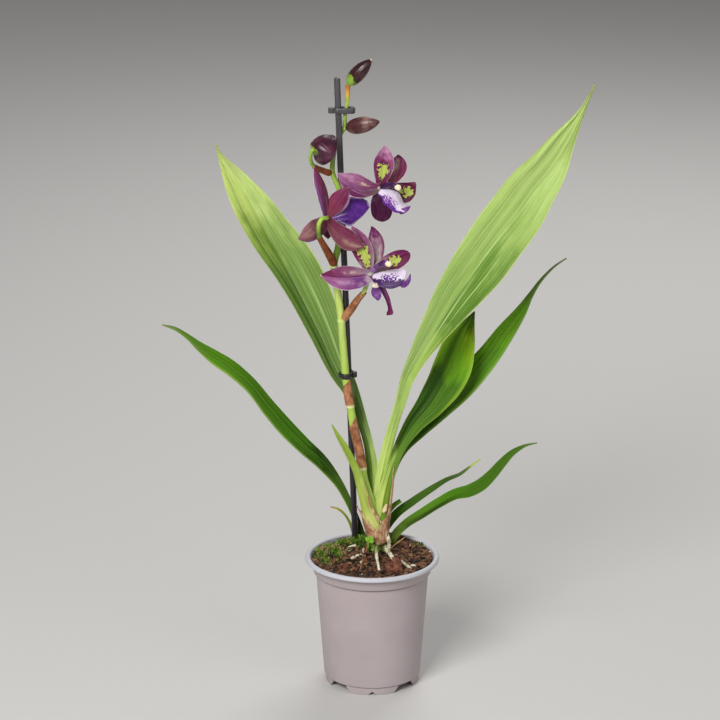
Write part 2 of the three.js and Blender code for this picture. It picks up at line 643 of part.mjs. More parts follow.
// How high the papery sheath reaches at an angle round the crown, and how far it flares there.
function sheathRim(angle) {
  const near = ({ at, spread }) => {
    const turn = THREE.MathUtils.euclideanModulo(THREE.MathUtils.radToDeg(angle) - at + 180, 360) - 180;
    return Math.exp(-((turn / spread) ** 2));
  };
  return {
    top: SHEATH.rim + SHEATH.points.reduce((sum, point) => sum + point.rise * near(point), 0),
    flare: SHEATH.points.reduce((sum, point) => sum + point.flare * near(point), 0),
  };
}

function sheathRings(inset) {
  const [x, y] = BULB.middle;
  const rings = [];
  for (let i = 0; i <= SHEATH.rows; i += 1) {
    const ring = [];
    for (let k = 0; k < SHEATH.sides; k += 1) {
      const angle = (2 * Math.PI * k) / SHEATH.sides;
      const { top, flare } = sheathRim(angle);
      const z = THREE.MathUtils.lerp(SHEATH.foot, top, i / SHEATH.rows);
      const open = Math.min(1, (z - SHEATH.foot) / (SHEATH.rim - SHEATH.foot)) ** 0.6;
      const above = Math.max(0, z - SHEATH.rim) / Math.max(1, top - SHEATH.rim);
      const [rx, ry] = SHEATH.footRadii.map((r, axis) => (
        THREE.MathUtils.lerp(r, SHEATH.mouthRadii[axis], open) + flare * above - inset
      ));
      ring.push(new THREE.Vector3(x + rx * Math.cos(angle), y + ry * Math.sin(angle), z));
    }
    rings.push(ring);
  }
  return rings;
}

// The dry bract round the leaf bases: a thin cup that is open above and below.
function makeDrySheath() {
  const outer = sheathRings(0);
  const inner = sheathRings(SHEATH.wall);
  const points = [...outer.flat(), ...inner.flat()];
  const sides = SHEATH.sides;
  const skip = outer.length * sides;
  const triangles = [];
  const quad = (p, q, r, s) => triangles.push(p, q, r, p, r, s);
  for (let k = 0; k < sides; k += 1) {
    const next = (k + 1) % sides;
    for (let i = 0; i + 1 < outer.length; i += 1) {
      const a = i * sides;
      const b = a + sides;
      quad(a + k, a + next, b + next, b + k);
      quad(skip + a + next, skip + a + k, skip + b + k, skip + b + next);
    }
    const last = (outer.length - 1) * sides;
    quad(k, skip + k, skip + next, next);
    quad(last + k, last + next, skip + last + next, skip + last + k);
  }
  return solidOf(geometryFrom(points, triangles));
}

// ---- flowers --------------------------------------------------------------------------------

function makeBud({ foot, tip, radius }, grow = 0) {
  const start = vector(foot);
  const reach = vector(tip).sub(start);
  const route = BUD_SHAPE.map(([t]) => start.clone().addScaledVector(reach, t).toArray());
  const radii = BUD_SHAPE.map(([, share]) => radius * share);
  return stem({ route, radii, sides: 10, steps: 8, grow });
}

function makeTepal(hub, { tip, lift, half, roll, cup }, grow) {
  const start = vector(hub);
  const reach = vector(tip).sub(start);
  const stations = TEPAL_SHAPE.map(([t, share]) => {
    const bow = 4 * t * (1 - t);
    const point = start.clone().addScaledVector(reach, t).addScaledVector(vector(lift), bow);
    const turn = THREE.MathUtils.lerp(roll[0], roll[1], t);
    return [...point.toArray(), half * share, half * share, turn, 0];
  });
  return blade({ stations, across: 4, steps: 6, thick: 0.9, thickFoot: 1.6, cup, grow });
}

function makeTepals({ hub, tepals }, grow = 0) {
  const middle = solidOf(new THREE.SphereGeometry(HUB_RADIUS + grow, 7, 5).translate(...hub));
  return joinAll([middle, ...tepals.map((tepal) => makeTepal(hub, tepal, grow))]);
}

function makeColumn({ column }, grow = 0) {
  return stem({ route: column, radii: COLUMN_RADII, sides: 7, steps: 4, grow });
}

function makeLip({ lip }) {
  return blade({
    stations: lip, across: 6, steps: 8, thick: 0.9, thickFoot: 1.8, cup: -0.18, waves: 2.5, waveDepth: 1.6,
  });
}

// ---- support --------------------------------------------------------------------------------

function stakeCentre(z) {
  const [x0, y0, z0] = STAKE.foot;
  const [x1, y1, z1] = STAKE.top;
  const share = (z - z0) / (z1 - z0);
  return [THREE.MathUtils.lerp(x0, x1, share), THREE.MathUtils.lerp(y0, y1, share)];
}

function makeStake(grow = 0) {
  return stem({
    route: [STAKE.foot, STAKE.top], radii: [STAKE.radius, STAKE.radius], sides: 14, steps: 1, grow,
  });
}

// An outline round two circles of the same radius.
function stadium([ax, ay], [bx, by], radius) {
  const angle = Math.atan2(by - ay, bx - ax);
  const shape = new THREE.Shape();
  shape.absarc(bx, by, radius, angle - Math.PI / 2, angle + Math.PI / 2, false);
  shape.absarc(ax, ay, radius, angle + Math.PI / 2, angle + (3 * Math.PI) / 2, false);
  return shape;
}

// A plastic clip: one band round the stake and the spike, with its grips beside it.
function makeClip({ z, spike, hole, grips }) {
  const stake = stakeCentre(z);
  const options = { depth: CLIP.height, bevelEnabled: false, curveSegments: 5 };
  const plate = (shape, height) => solidOf(new THREE.ExtrudeGeometry(shape, { ...options, depth: height })
    .translate(0, 0, z - height / 2));
  let clip = plate(stadium(stake, spike, hole + CLIP.wall), CLIP.height);
  for (const { at, radius } of grips) {
    clip = clip.add(cylinder(radius, CLIP.height, [...at, z - CLIP.height / 2], 8));
  }
  return clip.subtract(plate(stadium(stake, spike, hole), 2 * CLIP.height));
}

// ---- assembly -------------------------------------------------------------------------------

const COLOURS = {
  pot: { color: 0xa59898, roughness: 0.62 },
  soil: { color: 0x4a2c1c, roughness: 0.95 },
  bark: { color: 0x6e3a26, roughness: 0.9 },
  bulb: { color: 0x9a6a45, roughness: 0.7 },
  root: { color: 0xd9d8bd, roughness: 0.7 },
  husk: { color: 0xb98761, roughness: 0.8 },
  leaf: { color: 0x6fa233, roughness: 0.45 },
  paleLeaf: { color: 0x9cc45a, roughness: 0.45 },
  darkLeaf: { color: 0x3f7a22, roughness: 0.4 },
  yellowLeaf: { color: 0xb3b13c, roughness: 0.6 },
  spike: { color: 0xa3c350, roughness: 0.45 },
  bract: { color: 0xa4613a, roughness: 0.7 },
  bud: { color: 0x3c1424, roughness: 0.35 },
  tepal: { color: 0x803a6c, roughness: 0.45 },
  lip: { color: 0x7a49b8, roughness: 0.5 },
  column: { color: 0x54206a, roughness: 0.45 },
  black: { color: 0x17181a, roughness: 0.4 },
};

const plant = new THREE.Group();

function place(name, solid, finish) {
  const material = new THREE.MeshStandardMaterial({ ...COLOURS[finish], metalness: 0 });
  const mesh = new THREE.Mesh(geometryOf(solid), material);
  mesh.name = name;
  plant.add(mesh);
}

function makeSpike(grow = 0) {
  const { main, stalks } = SPIKE;
  const span = main.length - 1;
  const { foot, top } = SPIKE_RADIUS;
  const mainRadii = main.map((_, i) => THREE.MathUtils.lerp(foot, top, (i / span) ** 0.8));
  const parts = [stem({ route: main, radii: mainRadii, sides: 7, steps: 2 * span - 8, grow })];
  for (const { route, radius } of stalks) {
    const radii = route.map(() => radius);
    parts.push(stem({ route, radii, sides: 6, steps: 2 * (route.length - 1), grow }));
  }
  return joinAll(parts);
}

function makeBract({ route, radii, slant }) {
  return stem({ route, radii: radii.map((r) => r + GAP + BRACT_WALL), sides: 7, steps: 4, slant });
}

const blooms = Object.entries(BLOOMS);
const grownTepals = blooms.map(([, bloom]) => makeTepals(bloom, GAP));
const grownBuds = Object.values(BUDS).map((bud) => makeBud(bud, GAP));
const grownSpike = makeSpike(GAP);
const grownStake = makeStake(GAP);
const grownBulb = makePseudobulb(GAP);
const grownRoots = makeRoots(GAP);
const grownChips = CHIPS.map((chip) => makeChip(chip, GAP));

// Each leaf is cut clear of the spike and of the leaves that overlap it in the fan.
const grownLeaves = [];
for (const [name, { finish, ...spec }] of Object.entries(LEAVES)) {
  place(name, cutAll(blade(spec), [grownSpike, ...grownLeaves]), finish);
  grownLeaves.push(blade({ ...spec, grow: GAP }));
}

place('pot', makePot(), 'pot');
place('soil', makeSoil([...grownLeaves, grownStake, grownBulb, grownRoots, ...grownChips]), 'soil');
place('bark_chip_front', makeChip(CHIPS[0]), 'bark');
place('bark_chip_left', makeChip(CHIPS[1]), 'bark');
place('pseudobulb', cutAll(makePseudobulb(), [...grownLeaves, grownSpike]), 'bulb');
place('roots', cutAll(makeRoots(), [grownBulb, ...grownLeaves, grownSpike, ...grownChips]), 'root');
place('dry_sheath', cutAll(makeDrySheath(), [...grownLeaves, grownSpike, grownBulb, grownRoots]), 'husk');
place('flower_spike', cutAll(makeSpike(), [...grownTepals, ...grownBuds]), 'spike');
for (const [name, { finish, ...spec }] of Object.entries(BRACTS)) {
  place(name, cutAll(makeBract(spec), [grownSpike, grownStake, ...grownTepals, ...grownBuds]), finish);
}
for (const [name, spec] of Object.entries(BUDS)) place(name, makeBud(spec), 'bud');
blooms.forEach(([name, bloom], i) => {
  place(`${name}_tepals`, makeTepals(bloom), 'tepal');
  place(`${name}_column`, cutAll(makeColumn(bloom), [grownTepals[i]]), 'column');
  place(`${name}_lip`, cutAll(makeLip(bloom), [grownTepals[i], makeColumn(bloom, GAP)]), 'lip');
});
place('stake', makeStake(), 'black');
for (const [name, spec] of Object.entries(CLIPS)) place(name, makeClip(spec), 'black');

export default plant;
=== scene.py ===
"""The looks of a flowering orchid in a nursery pot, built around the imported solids.

The tables and the shapes made from them are in millimetres, as on the solids, and every piece
turns them into metres as its last step. Colours are sRGB, written as on a screen. A leaf, petal
or bract knows its place: "Place" runs across it from -1 to 1 and along it from 0 to 1. On leaves
and petals "Size" holds the same two directions in millimetres. Small loose pieces keep a number
for their colour in "Place".
"""
import math
import random
from types import SimpleNamespace as Sizes

import bpy
import numpy as np
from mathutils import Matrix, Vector, noise


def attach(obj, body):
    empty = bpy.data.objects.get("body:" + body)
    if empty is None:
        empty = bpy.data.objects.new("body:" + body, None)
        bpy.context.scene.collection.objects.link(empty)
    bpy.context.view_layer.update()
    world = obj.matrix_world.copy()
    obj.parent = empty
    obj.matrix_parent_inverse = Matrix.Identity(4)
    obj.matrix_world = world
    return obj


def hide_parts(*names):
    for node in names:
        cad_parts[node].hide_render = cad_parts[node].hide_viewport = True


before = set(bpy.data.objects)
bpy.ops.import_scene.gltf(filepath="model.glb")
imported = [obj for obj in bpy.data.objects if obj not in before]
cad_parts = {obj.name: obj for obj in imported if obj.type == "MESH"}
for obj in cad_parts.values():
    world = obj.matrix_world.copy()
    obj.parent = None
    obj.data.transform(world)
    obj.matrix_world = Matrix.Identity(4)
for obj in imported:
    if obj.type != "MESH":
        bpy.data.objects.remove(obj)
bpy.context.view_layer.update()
MM = 0.001

# ---- sizes ------------------------------------------------------------------------------------

POT = Sizes(
    rim_radius=60, rim_top=119, rim_plate=2.6, rim_drop=4.2, mouth=55.4, collar_radius=52.6, step_height=104,
    wall_top_radius=50.4, wall_foot_radius=42.8, wall=1.3, floor_height=6, boss_radius=14, foot_ring=2.2,
    hollow_height=4.4, draft=1,
)
# The feet stand back under the wall. The gaps between them slant, and the front foot is notched.
FEET = Sizes(count=4, gap_degrees=24, top=6.8, setback=0.8, slant=10, notch_height=3.4)
DRAIN = Sizes(count=6, radius=3.5, ring=27)

# The rise is that of the mix towards the rim, at the front and the sides. Then the counts of the
# crumbs, of the short fibres and of the long ones on the moss.
SOIL = Sizes(
    radius=53.2, rise=4.6, edge_height=110.5, dome_height=5, dome=[-2, 40], dome_spread=24, rough=1.1,
    clearance=0.75, crumbs=7500, fibres=1300, long_fibres=110,
)

STAKE = Sizes(radius=2.75, foot=[-14.1, 40, 84], top=[-31, 42.3, 546])
CLIP = Sizes(height=5, wall=1.1, bevel=0.3)
CLIPS = {
    "clip_upper": dict(z=517, spike=[-19.4, 42.6], hole=3.2, grips=[(-36, 42, 2.6)]),
    "clip_lower": dict(z=276, spike=[-23.5, 35], hole=3.4, grips=[(-16.2, 39, 2.4), (-28.2, 38, 1.9)]),
}

# ---- the plant's own shape --------------------------------------------------------------------

BULB = Sizes(middle=[6.5, 21, 128], radii=[8.2, 7.6, 8.5])

# The roots dive under the soil and come out again. A girth goes with each route.
ROOT = Sizes(radius=1.7, core_radius=2.8, core_top=120, core_foot=96.5)
ROOT_ROUTES = [
    [[6, 18, 123], [4.6, 11, 122.4], [3.8, 3, 120.6], [3.9, -4, 118], [5, -11, 115], [6.3, -21, 110.5]],
    [[11.2, 19, 117.5], [14, 12.5, 117], [17, 6, 115.2], [20.3, -1.5, 112.6]],
    [[9, 22, 116], [19, 10, 107], [25, -1, 112.2], [30.5, -13, 113.6], [36.5, -27, 113]],
    [[4, 19, 118], [-3, 20, 113], [-7.5, 12, 112.6], [-9, 0, 111.6], [-12, -10, 110]],
    [[3, 23, 118], [-7, 26, 112], [-19, 22, 110.5], [-28, 12, 109]],
    [[7, 25, 118], [10, 34, 114], [9, 44, 110]], [[10, 24, 118], [21, 29, 111], [34, 30, 109]],
    [[13.2, 19, 130], [15.2, 14.5, 124.5], [15, 13.8, 119], [14.2, 15.5, 112]],
]
ROOT_GIRTHS = [1, 1.35, 1, 1, 1, 1, 1, 1.1]

# The dry sheath's torn rim, as [degrees, height], and its body, as [height, middle x, half width,
# half depth].
SHEATH_RIM = [
    [0, 194], [5, 180], [14, 166], [40, 154], [90, 149], [150, 151], [166, 152], [173, 157], [180, 158.5],
    [190, 156.5], [205, 152.5], [230, 146.5], [257, 140.4], [272, 138], [285, 141.5], [295, 144.8],
    [309, 148], [322, 152], [329, 158], [334, 166], [340, 176], [348, 187], [355, 195], [360, 198],
]
SHEATH_BODY = [
    [127, 6.6, 8.2, 8], [130, 4.8, 10.2, 9.4], [134, 4.4, 10.8, 10], [138.5, 3.9, 11.6, 10.6],
    [147, 3.4, 12.9, 11.6], [153, 3.4, 13.5, 11.8], [161, 3.4, 14.6, 11.6], [176, 3.4, 15, 11],
    [198, 3.2, 15.4, 11],
]

# A blade is a leaf, a tepal or a lip. A station of its rib is [x, y, z, half width to the left,
# half width to the right, roll and rise in degrees]. Pleats are counted across each half of a
# blade, waves along its margin.
BROAD = dict(thick=0.9, thick_foot=2.6, pleats=1.5, pleat_depth=0.28, waves=2, wave_depth=1.2)
NARROW = dict(thick=0.8, thick_foot=1.8, pleats=1, pleat_depth=0.16, waves=2, wave_depth=0.6)

# The share of a blade over which its thick foot thins out, the half width from which pleats and
# waves have their full depth, and the least half width.
FOOT_SHARE = 0.3
FULL_HALF = 9
LEAST_HALF = 0.3

LEAVES = {
    "leaf_big_right": dict(
        BROAD,
        stations=[
            [4, 22, 134, 3, 3, 0, -8], [5.4, 22, 170, 4.2, 4.2, 0, -10], [10.6, 22, 199, 4.9, 4.9, 0, -4],
            [17, 21.3, 228, 4.6, 4.6, 0, 10], [25, 19, 258, 4.7, 5, 0, 26], [32, 16, 282, 6.6, 6, 5, 30],
            [45, 12, 307, 11, 8, 10, 22], [62, 7, 338, 16.5, 14, 10, 14], [77, 2, 365, 20.5, 20, 8, 12],
            [93, -4, 391, 23.5, 23.8, 5, 10], [109, -10, 416, 25.7, 23.5, 2, 10],
            [125, -15, 439, 26.5, 22, 0, 10], [138, -19, 460, 26.2, 18.6, -4, 12],
            [152, -23, 480, 24, 13.4, -8, 14], [166, -27, 506, 17.5, 6, -10, 14],
            [178, -30, 533, 4.6, 2, -8, 10], [188, -32, 557, 0.6, 0.6, 0, 5],
        ],
    ),
    "leaf_big_left": dict(
        BROAD, phase=2,
        stations=[
            [3.5, 26, 134, 4.5, 4.5, 0, -8], [0.8, 28, 165, 4.9, 4.9, 0, -10],
            [-0.2, 33, 191, 5.3, 5.3, 0, -4], [-3.6, 40, 211, 4.4, 4.5, 0, 6],
            [-10, 48, 230, 4.6, 5.4, 0, 14], [-19, 54, 254, 6.4, 7.4, -5, 14],
            [-31, 58, 273, 8, 13, -12, 20], [-46, 61, 306, 11, 19.5, -22, 28],
            [-62, 64, 339, 14, 22.8, -28, 32], [-77, 66, 368, 16, 24, -26, 30],
            [-92, 68, 394, 17.2, 22, -20, 24], [-107, 68, 424, 16.4, 17, -8, 18],
            [-121, 67, 450, 11.5, 9, 5, 12], [-133, 65, 470, 3.6, 1.8, 8, 8],
            [-138, 63, 481, 0.6, 0.6, 8, 5],
        ],
    ),
    "leaf_mid_right": dict(
        BROAD, phase=1,
        stations=[
            [8.5, 17, 133, 4.2, 4.2, 0, -14], [9.2, 16.8, 161, 6.4, 6.2, 0, -14],
            [16, 21, 190, 5, 4.8, 0, 4], [25, 28, 211, 6, 5, 5, 22], [37, 33, 231, 8.5, 8.5, 10, 18],
            [53, 38, 249, 13, 12.7, 15, 14], [63, 42, 265, 14.8, 17.4, 15, 12],
            [72, 45, 284, 16.2, 18.3, 12, 12], [80, 47, 305, 14.4, 12.6, 8, 10],
            [87, 48, 322, 6, 4.7, 5, 8], [91, 48, 332, 0.6, 0.6, 0, 5],
        ],
    ),
    "leaf_far_right": dict(
        BROAD, phase=4,
        stations=[
            [9, 29, 135, 3, 3, 0, 12], [12.2, 31, 159, 4, 4, 0, 14], [17.6, 35, 186, 4.4, 4.2, 0, 18],
            [27, 41, 204, 5.4, 4.8, 8, 20], [43, 48, 219, 8.4, 6, 18, 18], [62, 56, 238, 12, 10.5, 30, 14],
            [83, 63, 259, 13, 14.4, 38, 12], [104, 69, 283, 10.4, 13.6, 40, 12],
            [119, 73, 305, 7.2, 11.6, 38, 12], [134, 76, 324, 5, 6, 35, 12],
            [143, 78, 338, 3.2, 2.2, 30, 10], [151, 79, 351, 1.6, 1.5, 20, 5], [163, 80, 364, 1, 1, 0, 0],
            [174, 80, 372, 0.6, 0.6, 0, 0],
        ],
    ),
    "leaf_short_front": dict(
        NARROW,
        stations=[
            [5, 13.4, 132, 4.6, 4.6, 0, -14], [-3, 11.6, 155, 5.6, 5.6, -6, -12],
            [-9, 8.6, 176.3, 4.5, 4.4, -14, -4], [-15, 6, 198, 4.4, 3.4, -30, 20],
            [-23, 4, 217, 3.8, 2.8, -30, 18], [-30, 2, 230, 2.2, 2, -20, 12], [-36, 0, 242, 0.5, 0.5, 0, 5],
        ],
    ),
    "leaf_arching_left": dict(
        BROAD,
        stations=[
            [-6, 47, 104, 2.6, 2.6, 0, 10], [-9, 49, 118, 3, 3, 0, 10], [-14, 50.5, 133, 3.4, 3, -5, 12],
            [-20, 52, 148, 3.6, 2.6, -10, 14], [-30, 54, 168, 5.4, 3, -25, 16],
            [-45, 54, 188, 9.2, 5, -40, 18], [-62, 53, 204, 12, 7, -50, 18],
            [-80, 51, 224, 14.6, 8.4, -55, 18], [-94, 47, 243, 14.2, 8.6, -58, 16],
            [-109, 42, 265, 12.4, 7.6, -60, 16], [-126, 36, 283, 11.2, 7.2, -60, 16],
            [-141, 30, 296, 9.6, 5.6, -58, 14], [-153, 24, 307, 6.4, 3.8, -55, 14],
            [-164, 19, 318, 3, 2.4, -50, 12], [-174, 15, 326, 1.8, 1.8, -40, 10],
            [-185, 11, 331, 0.6, 0.6, -30, 5],
        ],
    ),
    "leaf_low_dark": dict(
        NARROW,
        stations=[
            [8, 36, 112, 2.4, 2.4, 0, 10], [12, 38, 128, 3.4, 3.4, 20, 10],
            [22, 42, 141.5, 4.2, 4.6, 40, 14], [38, 48, 152, 3.8, 4.6, 50, 14],
            [55, 54, 162, 3.2, 4, 58, 14], [68, 58, 169, 2.4, 2.8, 58, 12], [80, 62, 173, 1.6, 1.7, 40, 8],
            [89, 65, 179, 1.1, 1.1, 10, 5], [99, 67, 186, 0.5, 0.5, 0, 0],
        ],
    ),
    "leaf_low_bright": dict(
        NARROW, phase=2,
        stations=[
            [15.5, 34, 104, 3, 3, 0, 10], [17, 34, 115, 3.2, 3.2, 0, 10],
            [20.2, 31.5, 125, 3.6, 3.8, 15, 10], [31, 26, 139, 3.6, 4.4, 30, 14],
            [45, 20, 150.5, 4.2, 5, 42, 16], [60, 13.5, 163, 4.6, 5.2, 45, 16],
            [74, 6, 174, 4.9, 5.8, 45, 16], [87, -1, 180, 5.8, 6.4, 42, 16],
            [98, -8, 189, 5.8, 6.4, 40, 14], [107, -14, 201, 4.8, 5.6, 38, 14],
            [114, -19, 212, 4, 4.6, 36, 12], [123, -24, 224, 2.6, 3.2, 35, 12],
            [134, -28, 232, 1.4, 1.2, 20, 10], [144, -32, 236, 0.5, 0.5, 0, 5],
        ],
    ),
    "leaf_stub": dict(
        NARROW,
        stations=[
            [9, 35, 106, 2, 2, 0, 10], [11, 35, 130, 2.2, 2.2, 0, 10], [14, 35, 145, 2.4, 2.4, 20, 12],
            [20, 36.5, 152, 2.4, 2.4, 40, 12], [26, 38, 156, 2, 2, 40, 10],
        ],
    ),
    "leaf_withered": dict(
        NARROW, wave_depth=0,
        stations=[
            [-16, 46, 106, 1.3, 1.3, 0, 10], [-18, 48, 124, 1.3, 1.3, 0, 12],
            [-24, 50, 137, 1.1, 1.1, -30, 12], [-31, 51, 143, 1.1, 1.1, -50, 10],
            [-38, 52, 145, 0.5, 0.5, -50, 5],
        ],
    ),
}

# The dried margin of the front leaf's base, which crosses the crown down to the sheath.
DRY_MARGIN = [
    [-5.2, 9.2, 176, 0.3, 0.3, 0, 0], [-2.6, 10.6, 165, 0.7, 0.6, 0, 0], [0.8, 11, 156, 1.1, 0.7, 0, 0],
    [4.6, 11, 149.4, 1.5, 0.8, 0, 0], [8, 11.4, 144.5, 1, 1, 0, 0],
]

STEM_ROUTE = [
    [4, 20.5, 138], [2, 20, 150], [-1, 20, 163], [-7, 21, 182], [-9, 22, 194], [-12, 25, 211],
    [-16, 28, 227], [-20, 32, 250], [-23, 34.5, 269], [-25, 35.5, 290], [-26.8, 36.6, 315],
    [-27.8, 37.2, 330], [-31, 40, 354], [-34, 41, 377], [-30.5, 38.5, 393], [-28, 36, 415],
    [-28, 35.5, 435], [-30, 36.5, 449], [-35, 40.5, 461], [-34, 45, 477], [-31, 47.5, 489], [-25, 47, 500],
    [-24, 44, 512], [-22, 42, 524], [-21.5, 42, 540],
]
# Each flower stalk's radius and route.
STALKS = [
    (1.9, [[-27, 37.5, 326], [-18.6, 33, 339.2], [-13, 29, 348.7], [-8, 26, 356], [-3, 23, 370]]),
    (
        1.9,
        [
            [-34, 41, 377], [-38.9, 30, 391], [-43.6, 17, 403.5], [-46.3, 8, 411.9], [-47, 4, 419.9],
            [-46.4, 2.5, 426], [-43.9, 3, 429.9], [-40.1, 8, 429.1], [-40, 13, 428],
        ],
    ),
    (1.8, [[-29, 36, 445], [-18, 34, 446], [-7, 30, 448], [4, 22, 452]]),
    (
        1.7,
        [
            [-35, 40.5, 460], [-44.2, 36, 464.6], [-47.6, 30, 467.6], [-51.2, 24, 471.3],
            [-53.8, 17, 478.8], [-53.4, 12, 486.3], [-50.9, 10, 490.4], [-47.5, 11.5, 489.7],
        ],
    ),
    (1.7, [[-26, 47, 498], [-23, 43, 501]]),
]
# Heights up the stem and its radii there, the heights of its rings, and the height below which
# the rings are cream.
STEM_RADII = [
    [130, 3.5], [290, 3.5], [365, 3.3], [415, 2.7], [460, 2.3], [500, 1.75], [520, 1.5], [540, 1.4],
]
STEM_RINGS = (193, 248.5, 327, 376)
CREAM_BELOW = 260

# Slant is how far a bract's mouth reaches up on one side.
BRACTS = {
    "bract_stem_low": dict(
        slant=9, route=[[-9, 22, 194], [-12, 25, 211], [-15.5, 27.7, 225], [-16.6, 28.6, 230]],
        radii=[3.6, 3.6, 3.5, 3.5],
    ),
    "bract_stem_high": dict(
        slant=5, route=[[-20, 32, 250], [-21.5, 33.2, 259], [-22.6, 34.2, 267]], radii=[3.5, 3.5, 3.5],
    ),
    "bract_bloom_low": dict(
        slant=3, route=[[-25.2, 36.8, 329.5], [-18.6, 33, 339.2], [-13, 29, 348.7], [-8.8, 26.2, 354.6]],
        radii=[3.5, 3, 2.5, 2.1],
    ),
    "bract_bloom_left": dict(
        slant=3, route=[[-34.6, 38.5, 380], [-38.9, 30, 391], [-43.6, 17, 403.5], [-46.3, 9, 411]],
        radii=[3.3, 2.8, 2.2, 2],
    ),
    "bract_bud_left": dict(
        slant=2, route=[[-37.5, 39.5, 461.2], [-44.2, 36, 464.6], [-47.6, 30, 467.6], [-51, 24.5, 471]],
        radii=[2.4, 2.3, 2, 1.7],
    ),
    "bract_top": dict(
        slant=4, route=[[-22, 42, 525.5], [-21.8, 42, 532], [-21.5, 42, 539]], radii=[1.3, 1.5, 1.6],
    ),
}

# Share of the length, share of the greatest radius.
BUD_SHAPE = [[0, 0.3], [0.1, 0.68], [0.25, 0.93], [0.45, 1], [0.65, 0.88], [0.85, 0.54], [1, 0.12]]
# The outline of the bud on the left, as shares of its radius at angles in degrees.
BUD_OUTLINE = [
    [0, 0.68], [20, 0.88], [36, 1.28], [48, 1.42], [60, 1.3], [85, 1.22], [110, 1.16], [142, 1.16],
    [158, 1.16], [172, 1], [190, 0.84], [212, 0.9], [235, 1.14], [250, 1.26], [272, 1.06], [300, 0.98],
    [318, 0.92], [338, 0.72], [360, 0.68],
]
BUDS = {
    "bud_top": dict(foot=[-21.5, 42, 540], tip=[-1, 38, 563], radius=6.6),
    "bud_right": dict(foot=[-23, 43, 501], tip=[6, 30, 510], radius=7.2),
    "bud_left": dict(foot=[-48.6, 26, 489], tip=[-33.6, 2, 487], radius=10.6),
}

# Share of the length, and share of the greatest half width, or of each half's when they differ.
TEPAL_SHAPES = {
    "pointed": [
        [0, 0.35], [0.15, 0.55], [0.35, 0.86], [0.55, 1], [0.72, 0.88], [0.86, 0.55], [0.95, 0.24],
        [1, 0.03],
    ],
    "blunt": [
        [0, 0.35], [0.15, 0.6], [0.35, 0.9], [0.55, 1], [0.75, 0.95], [0.9, 0.7], [0.97, 0.4], [1, 0.12],
    ],
    "wide": [
        [0, 0.6, 0.35], [0.12, 0.84, 0.6], [0.3, 0.97, 0.92], [0.5, 1], [0.7, 0.8], [0.87, 0.42],
        [0.96, 0.15], [1, 0.03],
    ],
    "strap": [[0, 0.9], [0.3, 1], [0.6, 0.9], [0.85, 0.8], [0.95, 1.1, 1.5], [1, 0.7, 1.5]],
    "corner": [
        [0, 0.3, 0.35], [0.15, 0.42, 0.55], [0.35, 0.6, 0.85], [0.55, 0.74, 1], [0.75, 0.84, 1],
        [0.88, 0.92, 0.8], [0.96, 0.95, 0.45], [1, 0.75, 0.1],
    ],
}
COLUMN_RADII = [2.3, 2.4, 2.6, 2.9, 1.8]

